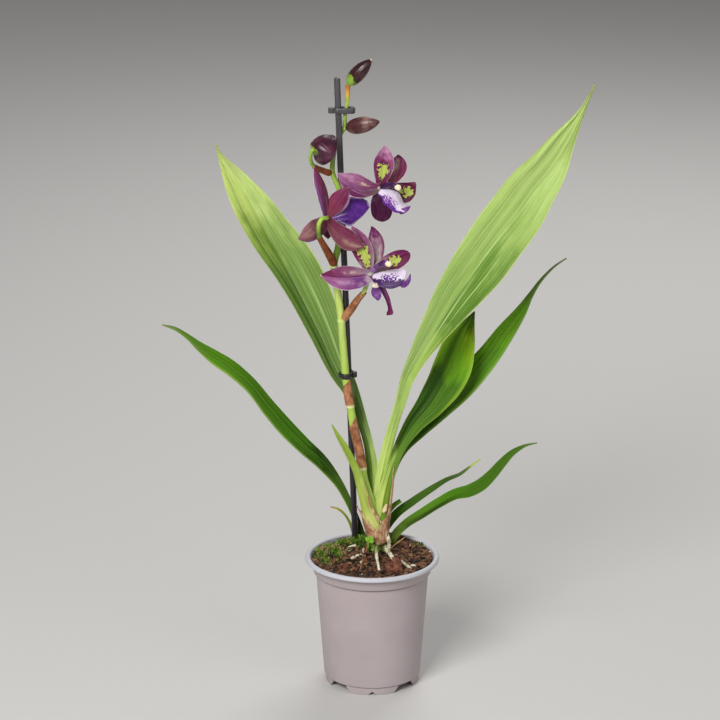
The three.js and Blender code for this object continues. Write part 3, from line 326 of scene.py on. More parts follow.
# In each bloom the tepals are, in this order, the dorsal sepal, the two petals and the two
# lateral sepals. Lift is how far a tepal's middle bows out of the line to its tip.
BLOOMS = {
    "bloom_upper": dict(
        hub=[6, 20, 453],
        tepals=[
            dict(tip=[10.5, 17, 492], lift=[1.2, 2, 0], half=9, cup=0.25),
            dict(tip=[-30, 21, 466], lift=[0, -3, -4], half=10.4, cup=0.25),
            dict(tip=[22, 32, 480], lift=[5.2, 0, 0], half=9.4, roll=[-20, -25], cup=0.25),
            dict(tip=[9, 24, 421.5], lift=[0, 1, 0], half=9.4, cup=0.2, shape="blunt"),
            dict(tip=[37.5, 20, 448.5], lift=[0, 2, -0.5], half=10, roll=[0, 10], cup=0.25, shape="corner"),
        ],
        column=[[8, 18, 454], [11, 15, 456], [15, 12, 458], [19, 8.5, 458], [22, 6, 457]],
        lip=[
            [6, 14.5, 451, 5, 2.5, 54, 0], [11, 11, 450.3, 9.6, 5.4, 56, 0],
            [17.5, 6, 447.3, 12.2, 10.5, 64, 0], [24, 1, 442, 11, 11, 70, 0], [29, -2, 438.5, 5, 5, 66, 0],
        ],
        lobes=[
            [
                [21, 0, 440, 1.5, 1.5, 0, 0], [25, -3, 438.2, 2.6, 2.6, 0, 0],
                [29.5, -4, 440.6, 2, 2, 0, 0], [32.6, -4, 443, 0.4, 0.4, 0, 0],
            ],
        ],
    ),
    "bloom_left": dict(
        hub=[-40, 14, 428],
        tepals=[
            dict(tip=[-21, 14, 455], lift=[0, -2, 0], half=8.6, cup=-0.25),
            dict(tip=[-51, 8, 475], lift=[3, -2, 0], half=8.4, roll=[-52, -58], cup=-0.25),
            dict(tip=[-7, 17, 401], lift=[-1, -3, -5], half=9.4, cup=-0.25),
            dict(tip=[-65, 9, 410], lift=[0, -2, -3.5], half=9, roll=[10, 10], cup=-0.25, shape="wide"),
            dict(tip=[-39, 30, 404], lift=[0, 2, 0], half=7.4, cup=-0.25),
        ],
        column=[[-38, 17, 429], [-35, 20, 430], [-32, 23, 431], [-29, 26, 430], [-27, 29, 429]],
        lip=[
            [-35, 15, 427, 3, 3, 0, 0], [-28, 18, 428.5, 7.5, 7, 0, 0], [-20.5, 21, 430, 13, 12.5, 0, 0],
            [-11, 24, 432, 12, 7, 0, 0], [-5, 26, 434, 8.6, 3, 0, 0], [-2.5, 27, 435, 5, 1, 0, 0],
        ],
    ),
    "bloom_lower": dict(
        hub=[-2, 20, 375],
        tepals=[
            dict(tip=[-18, 26, 417], lift=[1.5, -2, 0], half=9.2, cup=0.25),
            dict(tip=[-46, 23, 373], lift=[0, -3, -1.5], half=11, cup=0.3, shape="wide"),
            dict(tip=[-1, 33, 415], lift=[4.5, 1, 0], half=7.6, roll=[0, -10], cup=0.2),
            dict(tip=[15.6, 14, 339], lift=[4.4, 0, 0.5], half=2.6, roll=[20, 30], cup=0.2, shape="strap"),
            dict(tip=[33, 22, 393], lift=[0, 1, 0.5], half=8, roll=[10, 15], cup=0.25, shape="blunt"),
        ],
        column=[[0, 17, 379], [4, 14, 383], [8, 10, 387], [11, 6.5, 389], [14, 3, 389]],
        lip=[
            [0.5, 16.5, 373, 4, 3.5, 52, 0], [8, 11.5, 374.5, 8.2, 8.8, 52, 0],
            [16, 8.5, 375, 10.3, 10.2, 52, 0], [23, 6.5, 375.5, 11, 8.5, 52, 0],
            [27, 5.5, 376, 9, 6, 52, 0], [28.4, 5, 376, 4.5, 3, 52, 0],
        ],
        lobes=[
            [
                [24.5, 3, 369, 2, 2, 0, 0], [28, 1, 371, 2.8, 2.6, 0, 0], [31.5, -1, 375.5, 1.8, 1.8, 0, 0],
                [33, -1, 381, 0.3, 0.3, 0, 0],
            ],
            [
                [3, 12, 366, 3, 3, 0, 0], [3, 10.5, 360.5, 5, 4.2, 0, 0], [4.5, 9, 356, 3, 2.2, 0, 0],
                [5, 8.5, 354, 0.6, 0.6, 0, 0],
            ],
        ],
        callus=[2.4, 9.5, 367.5],
    ),
}

# Slabs of bark in the soil. They turn and lean in radians.
CHIPS = {
    "bark_chip_front": dict(size=[15, 21, 3.4], turn=0.15, place=[19, -22, 111.5], seed=3, tilt=0.45),
    "bark_chip_left": dict(size=[9, 17, 3], turn=-0.2, place=[-26, -18, 111.2], seed=5, tilt=0.2),
}

# Moss: middle x and y, half length and half width, turn in degrees, count of shoots, height of
# the mound.
MOSS_BEDS = [
    (-46, 6, 12, 4, 105, 230, 1.5), (-37, 21, 12, 6, 130, 430, 2.2), (-24, 32, 12, 6, 150, 520, 2.6),
    (-9, 38, 11, 5, 172, 400, 2.6), (-32, 11, 10, 5, 120, 170, 1), (-44, -10, 9, 4, 110, 90, 0.5),
    (-11, 31, 7, 5, 120, 240, 2), (-3, 24, 5, 4, 100, 90, 1), (42, 26, 5, 3, 120, 30, 0.3),
    (11, 27, 6, 4, 20, 150, 1.5),
]

# White bits of old root: x, y, length, width, turn in degrees, rise.
LITTER = [
    (-14.2, 10, 11, 3.8, 42, 0.8), (-7.7, 18, 9, 2.6, 90, 0.9), (-10, -2, 6.5, 2.4, 85, 0.5),
    (-11, -31, 4, 2.4, 70, 0.4), (-7.5, -31, 3.4, 2.8, 10, 0.6), (35.5, -13.5, 6.5, 3.6, 0, 0.9),
    (26.4, -22, 2.8, 2.2, 80, 0.5), (52, 13, 3, 2.2, 60, 0.8), (-18, 26, 6.5, 4.2, 10, 1),
    (-20, 21, 3.4, 2.2, 60, 0.6), (-25.2, 5.7, 3.4, 1.6, 80, 0.4), (-38, -8, 2.4, 1.8, 20, 0.4),
    (22, 40, 3, 2.2, 20, 0.6), (35, 31, 2.4, 1.8, 50, 0.5),
]

# ---- curves and grids -------------------------------------------------------------------------


def spline(points, shares, even=False):
    """Places on a smooth curve through points, and its directions there.

    Shares run from 0 to 1 and give each stretch between two points the same part. The speed
    on a stretch follows its length, or is even for values that aren't places.
    """
    points = np.array(points, float)
    points = np.vstack([2 * points[0] - points[1], points, 2 * points[-1] - points[-2]])
    places, directions = [], []
    stretches = len(points) - 3
    for share in shares:
        k = min(int(share * stretches), stretches - 1)
        w = share * stretches - k
        p0, p1, p2, p3 = points[k:k + 4]
        d0 = d1 = d2 = 1.0
        if not even:
            d0, d1, d2 = (max(np.linalg.norm(b - a), 1e-4) ** 0.5 for a, b in ((p0, p1), (p1, p2), (p2, p3)))
        out = ((p1 - p0) / d0 - (p2 - p0) / (d0 + d1) + (p2 - p1) / d1) * d1
        back = ((p2 - p1) / d1 - (p3 - p1) / (d1 + d2) + (p3 - p2) / d2) * d1
        c2 = -3 * p1 + 3 * p2 - 2 * out - back
        c3 = 2 * p1 - 2 * p2 + out + back
        places.append(p1 + out * w + c2 * w ** 2 + c3 * w ** 3)
        directions.append(out + 2 * c2 * w + 3 * c3 * w ** 2)
    return np.array(places), np.array(directions)


def unit(vectors):
    return vectors / np.linalg.norm(vectors, axis=-1, keepdims=True)


def smooth(low, high, value):
    share = np.clip((value - low) / (high - low), 0, 1)
    return share * share * (3 - 2 * share)


def bell(off, width):
    """One at nothing off, falling away over a width."""
    return math.exp(-((off / width) ** 2))


def rough(point, size, seed=0, octaves=3):
    """A number near -1 to 1 that changes smoothly over about size millimetres."""
    return noise.fractal(Vector(point) / size + Vector((seed, 2 * seed, 3 * seed)), 1.0, 2.1, octaves)


def turned(x, y, turn):
    """A place turned about the origin."""
    return x * math.cos(turn) - y * math.sin(turn), x * math.sin(turn) + y * math.cos(turn)


def on_circle(radius, k, count):
    """The place of number k of a count that stand round a circle."""
    return turned(radius, 0, 2 * math.pi * k / count)


def grid_faces(rows, columns, wrap_columns=False, wrap_rows=False, flip=False):
    """The four-sided faces between the points of a grid, which are counted row by row."""
    faces = []
    for i in range(rows if wrap_rows else rows - 1):
        for j in range(columns if wrap_columns else columns - 1):
            k, m = (i + 1) % rows, (j + 1) % columns
            face = (i * columns + j, k * columns + j, k * columns + m, i * columns + m)
            faces.append(face[::-1] if flip else face)
    return faces


def closed_faces(rows, sides, flip=True):
    """The faces of a stack of rings, with a point after them for each end."""
    faces = grid_faces(rows, sides, wrap_columns=True, flip=flip)
    count, last = rows * sides, (rows - 1) * sides
    for k in range(sides):
        after = (k + 1) % sides
        ends = [(count, after, k), (count + 1, last + k, last + after)]
        faces += ends if flip else [face[::-1] for face in ends]
    return faces


class Shape:
    """Faces, in millimetres, that become one piece."""

    def __init__(self):
        self.points, self.faces, self.finishes, self.place, self.size = [], [], [], [], []

    def add(self, points, faces, place=None, size=None, finish=0):
        """Adds points and faces. A finish is the number of a material, for all faces or each."""
        start = len(self.points)
        points = np.array(points, float).reshape(-1, 3)
        none = np.zeros((len(points), 2))
        self.points.extend(points.tolist())
        self.place.extend((none if place is None else np.array(place, float)).tolist())
        self.size.extend((none if size is None else np.array(size, float)).tolist())
        self.faces.extend(tuple(start + k for k in face) for face in faces)
        self.finishes.extend(finish if isinstance(finish, list) else [finish] * len(faces))

    def piece(self, name, materials, sharp=50):
        """The object. Edges that turn by more than sharp degrees stay crisp."""
        mesh = bpy.data.meshes.new(name)
        mesh.from_pydata([tuple(MM * c for c in p) for p in self.points], [], self.faces)
        for layer, values in (("Place", self.place), ("Size", self.size)):
            corners = np.array(values)[[k for face in self.faces for k in face]]
            mesh.uv_layers.new(name=layer).data.foreach_set("uv", corners.ravel())
        for material in materials:
            mesh.materials.append(material)
        mesh.polygons.foreach_set("material_index", self.finishes)
        mesh.polygons.foreach_set("use_smooth", [True] * len(self.faces))
        mesh.validate()
        mesh.update()
        mesh.set_sharp_from_angle(angle=math.radians(sharp))
        obj = bpy.data.objects.new(name, mesh)
        bpy.context.scene.collection.objects.link(obj)
        return obj


def tube_rings(route, radii, sides, steps, slant=0, ripple=None):
    """Rings round a route. A ripple gives a share of the radius for an angle and a share."""
    shares = np.linspace(0, 1, steps + 1)
    centres, along = spline(route, shares)
    along = unit(along)
    width = spline([[r] for r in radii], shares, even=True)[0][:, 0]
    across = np.array([1.0, 0, 0])
    rings = []
    for i, share in enumerate(shares):
        across = unit(across - along[i] * across.dot(along[i]))
        other = np.cross(along[i], across)
        ring = []
        for k in range(sides):
            angle = 2 * math.pi * k / sides
            reach = width[i] * (ripple(angle, share) if ripple else 1)
            point = centres[i] + reach * (math.cos(angle) * across + math.sin(angle) * other)
            if i == steps:
                point = point + along[i] * slant * (1 + math.cos(angle)) / 2
            ring.append(point)
        rings.append(ring)
    return np.array(rings)


def add_tube(shape, route, radii, sides, steps, ripple=None, tint=0):
    """A closed round stem along a route, with a radius for all of it or for each of its points."""
    radii = radii if isinstance(radii, list) else [radii] * len(route)
    rings = tube_rings(route, radii, sides, steps, ripple=ripple)
    points = np.concatenate([rings.reshape(-1, 3), [rings[0].mean(0), rings[-1].mean(0)]])
    shape.add(points, closed_faces(steps + 1, sides), place=[(tint, 0)] * len(points))


def add_sleeve(shape, outer, inner):
    """A thin wall between two stacks of rings, such as a bract or a dry sheath."""
    rows, sides = len(outer), len(outer[0])
    heights = np.linspace(0, 1, rows)
    place = [(2 * k / sides - 1, h) for h in (*heights, *heights[::-1]) for k in range(sides)]
    faces = grid_faces(2 * rows, sides, wrap_columns=True, wrap_rows=True, flip=True)
    shape.add(np.concatenate([outer, inner[::-1]]), faces, place)


def ball(shape, middle, radii, rows=12, sides=18, bumps=0, seed=0, finish=0):
    """A closed rounded lump."""
    rings = []
    for i in range(1, rows):
        tilt = math.pi * i / rows
        for k in range(sides):
            way = np.array([*on_circle(math.sin(tilt), k, sides), math.cos(tilt)])
            swell = 1 + bumps * rough(way, 0.7, seed)
            rings.append(np.array(middle) + way * np.array(radii) * swell)
    ends = [np.array(middle) + np.array([0, 0, s * radii[2]]) for s in (1, -1)]
    shape.add(rings + ends, closed_faces(rows - 1, sides, flip=False), finish=finish)


def blade_frame(stations, shares):
    """A blade's rib, half widths, rise, facing and left direction at each share of its length."""
    rib, along = spline([s[:3] for s in stations], shares)
    widths, turns = (spline([s[k:k + 2] for s in stations], shares, even=True)[0] for k in (3, 5))
    along = unit(along)
    face = unit(np.array([0, -1.0, 0]) + along * along[:, 1:2])
    roll = np.radians(-turns[:, 0:1])
    face = face * np.cos(roll) + np.cross(along, face) * np.sin(roll)
    return rib, widths, np.tan(np.radians(turns[:, 1])), face, np.cross(face, along)


def add_blade(
    shape, stations, columns, rows, thick, thick_foot=None, pleats=0, pleat_depth=0, waves=0, wave_depth=0,
    cup=0, phase=0, edge=0.35, relief=None, finishes=(0, 0),
):
    """A leaf, tepal or lip: the solids' formula, more finely stepped, with a thinner margin.

    Relief adds a height for a place on the blade. The finishes are those of front and back.
    """
    shares = np.linspace(0, 1, rows + 1)
    rib, widths, rise, face, left = blade_frame(stations, shares)
    lengths = np.concatenate([[0], np.cumsum(np.linalg.norm(np.diff(rib, axis=0), axis=1))])
    thick_foot = thick_foot or thick
    grids, place, size = [[], []], [], []
    for i, t in enumerate(shares):
        half = (thick + (thick_foot - thick) * max(0, 1 - t / FOOT_SHARE) ** 2) / 2
        for j in range(columns + 1):
            u = 2 * j / columns - 1
            reach = max(LEAST_HALF, widths[i][0] if u > 0 else widths[i][1])
            full = min(1, reach / FULL_HALF)
            side = abs(u)
            lift = (
                rise[i] * reach * side
                + cup * reach * side ** 2
                + pleat_depth * full * math.cos(2 * math.pi * pleats * side)
                + wave_depth * full * side ** 2 * math.sin(2 * math.pi * waves * t + phase + 2 * u)
            )
            if relief:
                lift += relief(u, t, reach)
            middle = rib[i] + u * reach * left[i] + lift * face[i]
            depth = half * (1 - (1 - edge) * side ** 4)
            grids[0].append(middle + depth * face[i])
            grids[1].append(middle - depth * face[i])
            place.append((u, t))
            size.append((u * reach, lengths[i]))
    count = columns + 1
    total = (rows + 1) * count
    front = grid_faces(rows + 1, count)
    back = [tuple(total + k for k in quad[::-1]) for quad in front]
    rim = []
    for i in range(rows):
        low, high = i * count, (i + 1) * count
        rim.append((low, total + low, total + high, high))
        rim.append((low + columns, high + columns, total + high + columns, total + low + columns))
    for j in range(columns):
        tip = rows * count + j
        rim.append((j, j + 1, total + j + 1, total + j))
        rim.append((tip, total + tip, total + tip + 1, tip + 1))
    finish = [finishes[0]] * len(front) + [finishes[1]] * len(back) + [finishes[0]] * len(rim)
    shape.add(grids[0] + grids[1], front + back + rim, place * 2, size * 2, finish)


# ---- materials --------------------------------------------------------------------------------


def rgb(hex_colour):
    """A screen colour such as #a59898 as the linear values that shaders take."""
    parts = [int(hex_colour[k:k + 2], 16) / 255 for k in (1, 3, 5)]
    return (*(c / 12.92 if c <= 0.04045 else ((c + 0.055) / 1.055) ** 2.4 for c in parts), 1.0)


class Value:
    """What a node gives: a number, a colour or a place. Each step with it adds a node."""

    def __init__(self, surface, socket):
        self.surface, self.socket = surface, socket

    def node(self, kind, inputs, output=0, **settings):
        return self.surface.value(kind, inputs, output, **settings)

    def math(self, operation, other=0.0):
        return self.node("Math", {0: self, 1: other}, operation=operation)

    def __add__(self, other):
        return self.math("ADD", other)

    def __sub__(self, other):
        return self.math("SUBTRACT", other)

    def __mul__(self, other):
        return self.math("MULTIPLY", other)

    def __truediv__(self, other):
        return self.math("DIVIDE", other)

    def __abs__(self):
        return self.math("ABSOLUTE")

    def span(self, low, high, start=0.0, end=1.0):
        """Its share of the way from low to high, eased at both ends, from start to end."""
        inputs = {"Value": self, "From Min": low, "From Max": high, "To Min": start, "To Max": end}
        return self.node("MapRange", inputs, interpolation_type="SMOOTHSTEP")

    def near(self, at, width):
        """One at a value, eased to nothing at a width from it."""
        return abs(self - at).span(width, 0.0)

    def within(self, start, end, soft=0.08):
        """One between start and end, and eased to nothing outside."""
        return self.span(start - soft, start + soft) * self.span(end + soft, end - soft)

    def lines(self, count, keen):
        """Bright lines, count of them in each unit, thin where keen."""
        return abs((self * (math.pi * count)).math("COSINE")).math("POWER", keen)

    def ramp(self, stops):
        """Colours along it. Stops are places and colours in turn."""
        node = self.surface.add("ValToRGB", {0: self})
        band = node.color_ramp.elements
        words = stops.split()
        while len(band) < len(words) / 2:
            band.new(1.0)
        for element, place, colour in zip(band, words[::2], words[1::2]):
            element.position = float(place)
            element.color = rgb(colour)
        return Value(self.surface, node.outputs[0])

    def noise(self, scale=1.0, detail=3.0, roughness=0.55):
        inputs = {"Vector": self, "Scale": scale, "Detail": detail, "Roughness": roughness}
        return self.node("TexNoise", inputs)

    def cells(self, scale):
        return self.node("TexVoronoi", {"Vector": self, "Scale": scale}, "Distance")

    def stretch(self, scales):
        return self.node("VectorMath", {0: self, 1: scales}, operation="MULTIPLY")

    def from_point(self, point=(0, 0, 0)):
        return self.node("VectorMath", {0: self, 1: point}, "Value", operation="DISTANCE")

    def parts(self):
        outputs = self.surface.add("SeparateXYZ", {0: self}).outputs
        return [Value(self.surface, output) for output in outputs]


class Surface:
    """A material's nodes, and the colour that they have made so far."""

    def __init__(self, name, colour="#808080", **sockets):
        self.material = bpy.data.materials.new(name)
        self.material.use_nodes = True
        self.tree = self.material.node_tree
        self.shader = self.tree.nodes["Principled BSDF"]
        self.feed("Base Color", colour)
        for socket, value in sockets.items():
            self.feed(socket.replace("_", " ").title().replace("Ior", "IOR"), value)

    def feed(self, name, value, node=None):
        socket = (node or self.shader).inputs[name]
        if isinstance(value, Value):
            self.tree.links.new(value.socket, socket)
        else:
            socket.default_value = rgb(value) if isinstance(value, str) else value

    def add(self, kind, inputs, **settings):
        node = self.tree.nodes.new("ShaderNode" + kind)
        for key, value in settings.items():
            setattr(node, key, value)
        for name, value in inputs.items():
            self.feed(name, value, node)
        return node

    def value(self, kind, inputs, output=0, **settings):
        return Value(self, self.add(kind, inputs, **settings).outputs[output])

    def layer(self, name):
        """Both numbers that a surface keeps under a name."""
        return self.value("UVMap", {}, uv_map=name).parts()[:2]

    def where(self):
        """Object coordinates, which are metres."""
        return self.value("TexCoord", {}, "Object")

    def vector(self, x, y):
        return self.value("CombineXYZ", {0: x, 1: y})

    def mix(self, share, a, b, blend="MIX"):
        return self.value("Mix", {0: share, 6: a, 7: b}, 2, data_type="RGBA", blend_type=blend)

    def coat(self, share, colour):
        """Lays a colour over what is there, as thickly as the share."""
        self.colour = self.mix(share, self.colour, colour)

    def done(self, height, millimetres):
        """The material, with its colour and with that height as relief."""
        self.feed("Base Color", self.colour)
        self.feed("Normal", self.value("Bump", {"Height": height, "Distance": millimetres * MM}))
        return self.material


def leaf_material(
    name, left, right, creases, edge="#c3d77c", painted_gloss_and_vein="#d2e0a8", shade="#3f6a1e", painted_gloss_share=0.25, tip=None,
):
    """A satin leaf. Left and right are the colours along its two halves.

    A crease is (place across, width, start, end, colour, strength): the midrib, a painted shade
    line in a fold, a painted highlight along a ridge, or a broad painted shadow. The pale colour
    of the fine streaks is a painted highlight, also laid on the veins, with a strength of its own,
    and the shade colour is their painted shade. Tip is a colour for the last stretch and where it
    starts.
    """
    s = Surface(name, roughness=0.4, specular_ior_level=0.08)
    u, t = s.layer("Place")
    across, along = s.layer("Size")
    side = abs(u)
    streak = s.vector(across * 1.5, along * 0.015).noise()
    broad = s.vector(across * 0.28, along * 0.012).noise()
    shifted = t + s.vector(across * 0.08, along * 0.03).noise(detail=2).span(0.3, 0.7, -0.04, 0.04)
    s.colour = s.mix(u.span(-0.08, 0.08), shifted.ramp(right), shifted.ramp(left))
    # Painted shade and painted highlights, in broad clouds and in fine streaks.
    s.coat(broad.span(0.5, 0.75, 0, 0.35), shade)
    s.coat(broad.span(0.5, 0.3, 0, 0.7 * painted_gloss_share), painted_gloss_and_vein)
    s.coat(streak.span(0.5, 0.75, 0, 0.3), shade)
    s.coat(streak.span(0.48, 0.28, 0, 0.8 * painted_gloss_share), painted_gloss_and_vein)
    # Creases: the midrib, painted shade in folds, painted shadows and painted highlights on ridges.
    for at, width, start, end, tint, strength in creases:
        s.coat(u.near(at, width) * t.within(start, end) * strength, tint)
    veins = side.lines(9, 12)
    s.coat(veins * 0.12, painted_gloss_and_vein)
    s.coat(side.span(0.93, 0.99, 0, 0.6), edge)
    s.coat(s.vector(across, along).cells(0.03).span(0.035, 0.02), "#4a3a20")
    if tip:
        s.coat(t.span(tip[1], tip[1] + 0.04), tip[0])
    s.feed("Roughness", streak.span(0.3, 0.7, 0.34, 0.48))
    return s.done(veins * 0.5 + streak, 0.14)


def tepal_material(name, left, right=None, blotch=None, patches=(), rim="#e2cdda", midline=0.5, streaky=0.4):
    """A waxy petal face. Left and right are the colours along its two halves.

    A blotch, (start, end, half width), is a yellow-green patch with a jagged outline inside a
    maroon border. A patch is (place across, place along, width, length, colour, strength); some
    patches are painted highlights, and one is a painted shadow.
    """
    s = Surface(name, roughness=0.4, specular_ior_level=0.08)
    u, t = s.layer("Place")
    across, along = s.layer("Size")
    place = s.vector(across, along)
    streak = s.vector(across * 1.3, along * 0.08).noise()
    cloud = place.noise(0.14)
    shifted = t + cloud.span(0.3, 0.7, -0.1, 0.1)
    s.colour = s.mix(u.span(-0.1, 0.1), shifted.ramp(right or left), shifted.ramp(left))
    for at, along_at, width, length, tint, strength in patches:
        s.coat(u.near(at, width) * shifted.near(along_at, length) * strength, tint)
    s.coat(streak.span(0.45, 0.75, 0, streaky), "#541238")
    s.coat(streak.span(0.5, 0.25, 0, streaky * 0.6), "#d8b4c6")
    s.coat(u.near(0.0, 0.09) * midline, "#501434")
    if blotch:
        start, end, half = blotch
        up = (t - (start + end) / 2) / ((end - start) / 2)
        out = u / half
        reach = (up * up + out * out).math("SQRT")
        s.coat(reach.span(1.7, 1.1, 0, 0.75), "#54183a")
        reach = reach + place.noise(0.3, 1.5).span(0.32, 0.68, -0.42, 0.42)
        s.coat(reach.span(1.05, 0.93), s.mix(streak.span(0.35, 0.7), "#b6bf62", "#96a53e"))
    margin = abs(u).span(0.93, 1.0).math("MAXIMUM", t.span(0.94, 1.0))
    s.coat(margin * cloud.span(0.35, 0.65, 0.25, 0.75), rim)
    return s.done(u.lines(7, 4) * 0.4 + streak, 0.16)


def lip_material(
    name, near_side, far_side, deep, blush, split, spotted, foot=None, rim="#e9dcf0", rim_from=-0.5,
):
    """A lip: far_side beyond split, near_side before it, spotted between two shares of its length.

    Its pale rim begins at rim_from across it.
    """
    s = Surface(name, roughness=0.45, specular_ior_level=0.25)
    u, t = s.layer("Place")
    across, along = s.layer("Size")
    cloud = s.vector(across, along).noise(0.22)
    fan = s.vector(u * 8, t * 1.3).noise()
    line = u + cloud.span(0.3, 0.7, -0.2, 0.2)
    s.colour = s.mix(cloud.span(0.4, 0.75, 0, 0.35), far_side, blush)
    crowd = t.within(*spotted, 0.12) * line.span(split + 1.1, split + 0.3)
    s.coat((s.vector(across, along * 0.7).cells(0.95) - crowd * 0.62).span(0.04, -0.06), deep)
    s.coat(line.span(split + 0.08, split - 0.08), s.mix(fan.span(0.45, 0.7, 0, 0.22), near_side, blush))
    if foot:
        s.coat(t.span(0.42, 0.1) * fan.span(0.5, 0.42), foot)
    margin = abs(u).span(0.78, 0.96).math("MAXIMUM", t.span(0.84, 0.97))
    margin = margin * u.span(rim_from - 0.15, rim_from + 0.15)
    s.coat(margin * cloud.span(0.35, 0.6, 0.5, 0.9), rim)
    return s.done(u.lines(8, 3) * 0.6 + cloud, 0.16)


def pot_material():
    """Matt plastic: a pale rim, painted shade lines under the rim, under the collar and over the
    feet, and painted shade mixed with dirt on the inside.
    """
    s = Surface("pot_plastic", specular_ior_level=0.4)
    where = s.where()
    x, y, z = where.parts()
    cloud = where.noise(14, 4)
    s.colour = s.mix(cloud.span(0.3, 0.7), "#a99c9e", "#b1a5a7")
    s.coat(z.span(0.1132, 0.1145) * 0.85, "#c3c5cc")
    out = s.vector(x, y).from_point()
    # Painted shade on the inner wall, blotched by noise like dirt as well.
    inside = (out - (z - 0.109) * 0.4).span(0.0522, 0.0518) * z.span(0.1075, 0.1085)
    inside = inside * z.span(0.1183, 0.1165)
    s.coat(inside * where.noise(110, 4, 0.65).span(0.35, 0.6, 0.35, 0.95), "#4a4744")
    # Painted shade lines in the groove under the collar and where the wall overhangs the feet.
    for height in (0.1037, 0.007):
        s.coat(z.near(height, 0.0008) * 0.85, "#5c4c4a")
    # A painted shade line under the rim's lip.
    s.coat(z.near(0.1149, 0.0008) * out.span(0.057, 0.058) * 0.8, "#5c4c4a")
    s.coat(where.noise(60, 5).span(0.6, 0.75) * 0.12, "#cfc6bd")
    s.feed("Roughness", cloud.span(0.3, 0.7, 0.46, 0.58))
    return s.done(where.noise(900, 2) + cloud * 2.0, 0.05)


def grainy_material(name, stops, scale, roughness=0.85, bump=0.6, stretch=(1, 1, 1)):
    """Something crumbly or fibrous: colours by a noise of that scale per metre."""
    s = Surface(name, roughness=roughness, specular_ior_level=0.25)
    where = s.where().stretch(stretch)
    coarse = where.noise(scale, 5, 0.6)
    fine = where.noise(scale * 5)
    s.colour = (coarse * 0.65 + fine * 0.35).span(0.3, 0.7).ramp(stops)
    return s.done(coarse + fine, bump)


def varied_material(name, low, high, roughness=0.6):
    """Many small pieces, each with a colour of its own between low and high."""
    s = Surface(name, roughness=roughness, specular_ior_level=0.35)
    fine = s.where().noise(500, 2)
    s.colour = s.mix(s.layer("Place")[0], low, high)
    s.coat(fine.span(0.35, 0.7, 0, 0.4), s.mix(1.0, s.colour, "#a09080", "MULTIPLY"))
    return s.done(fine, 0.2)


def root_material():
    """Spongy white roots, green and brown close under the bulb, with crumbs stuck on."""
    s = Surface("root_skin", roughness=0.7, specular_ior_level=0.3)
    where = s.where()
    x, y, _ = where.parts()
    cloud = where.noise(170, 4, 0.65)
    specks = where.noise(700, 2)
    behind = y + cloud.span(0.3, 0.7, -0.003, 0.003)
    s.colour = cloud.span(0.3, 0.7).ramp("0 #8f7f58 0.35 #d0c9a8 1 #efeadc")
    green = behind.span(-0.002, 0.003) * x.span(0.0125, 0.0105)
    s.coat(green, s.mix(cloud.span(0.4, 0.6), "#4f6028", "#9cb45c"))
    s.coat(specks.span(0.6, 0.68), "#3c2a1c")
    return s.done(cloud + specks, 0.4)


def stem_material(rings):
    """A green stem, with a ring at each of its joints' heights, cream low down and then pale green."""
    s = Surface("stem_green", roughness=0.4, specular_ior_level=0.25)
    where = s.where()
    z = where.parts()[2]
    streak = where.stretch((500, 500, 22)).noise()
    s.colour = z.span(0.13, 0.55).ramp(
        "0 #aac65a 0.25 #a3c04e 0.45 #bccf70 0.57 #b5c866 0.62 #7c9c38 0.76 #5f8228 0.79 #a3c44c 0.9 #98b848 "
        "1 #a3bc50"
    )
    s.coat(streak.span(0.4, 0.75, 0, 0.4), "#7c9a3e")
    for height in rings:
        shown = abs(z - height * MM).span(0.0015, 0.0003)
        s.coat(shown, "#e3ccaa" if height < CREAM_BELOW else "#c3d684")
    return s.done(streak, 0.12)


def paper_material(name, stops, vein, lengthwise=False):
    """Dry papery skin with lengthwise fibres. Its colours lie in clouds or along its length."""
    s = Surface(name, roughness=0.62, specular_ior_level=0.35)
    where = s.where()
    fibres = where.stretch((700, 700, 40)).noise(1, 4)
    cloud = where.noise(90)
    clouded = s.layer("Place")[1] + cloud.span(0.3, 0.7, -0.1, 0.1) if lengthwise else cloud.span(0.3, 0.7)
    s.colour = clouded.ramp(stops)
    s.coat(fibres.span(0.45, 0.7, 0, 0.6), vein)
    return s.done(fibres + cloud * 0.5, 0.3)


def bud_material(name, body, sheen, joint=None, reach=6.0, patchy=0.5, rough=0.4):
    """A glossy bud or column with painted highlights in soft clouds, green near its joint,
    a place in millimetres.
    """
    s = Surface(name, roughness=rough, specular_ior_level=0.4)
    where = s.where()
    cloud = where.noise(90, 2)
    streak = where.noise(420)
    # Painted highlights in soft clouds over the body colour.
    s.colour = s.mix(cloud.span(0.42, 0.72, 0, patchy), body, sheen)
    s.coat(streak.span(0.5, 0.8, 0, 0.4), "#240a14")
    if joint:
        off = where.from_point([MM * c for c in joint]) + cloud.span(0.3, 0.7, -2.5 * MM, 2.5 * MM)
        off = off + streak.span(0.35, 0.65, -1.5 * MM, 1.5 * MM)
        s.coat(off.span(reach * MM, 0.5 * reach * MM), "#5c6420")
        s.coat(off.span(0.8 * reach * MM, 0.4 * reach * MM), "#7fa03a")
    return s.done(streak, 0.1)


def plastic_material():
    """Black plastic with a painted highlight high up, where it catches more light."""
    s = Surface("black_plastic", specular_ior_level=0.5)
    where = s.where()
    cloud = where.stretch((260, 260, 30)).noise()
    s.colour = s.mix(cloud, "#19181a", "#2a282b")
    # Painted highlight: a lighter colour above about 415 mm.
    s.coat(where.parts()[2].span(0.415, 0.45), s.mix(cloud, "#343134", "#545054"))
    s.feed("Roughness", cloud.span(0.3, 0.7, 0.34, 0.48))
    return s.done(cloud, 0.05)


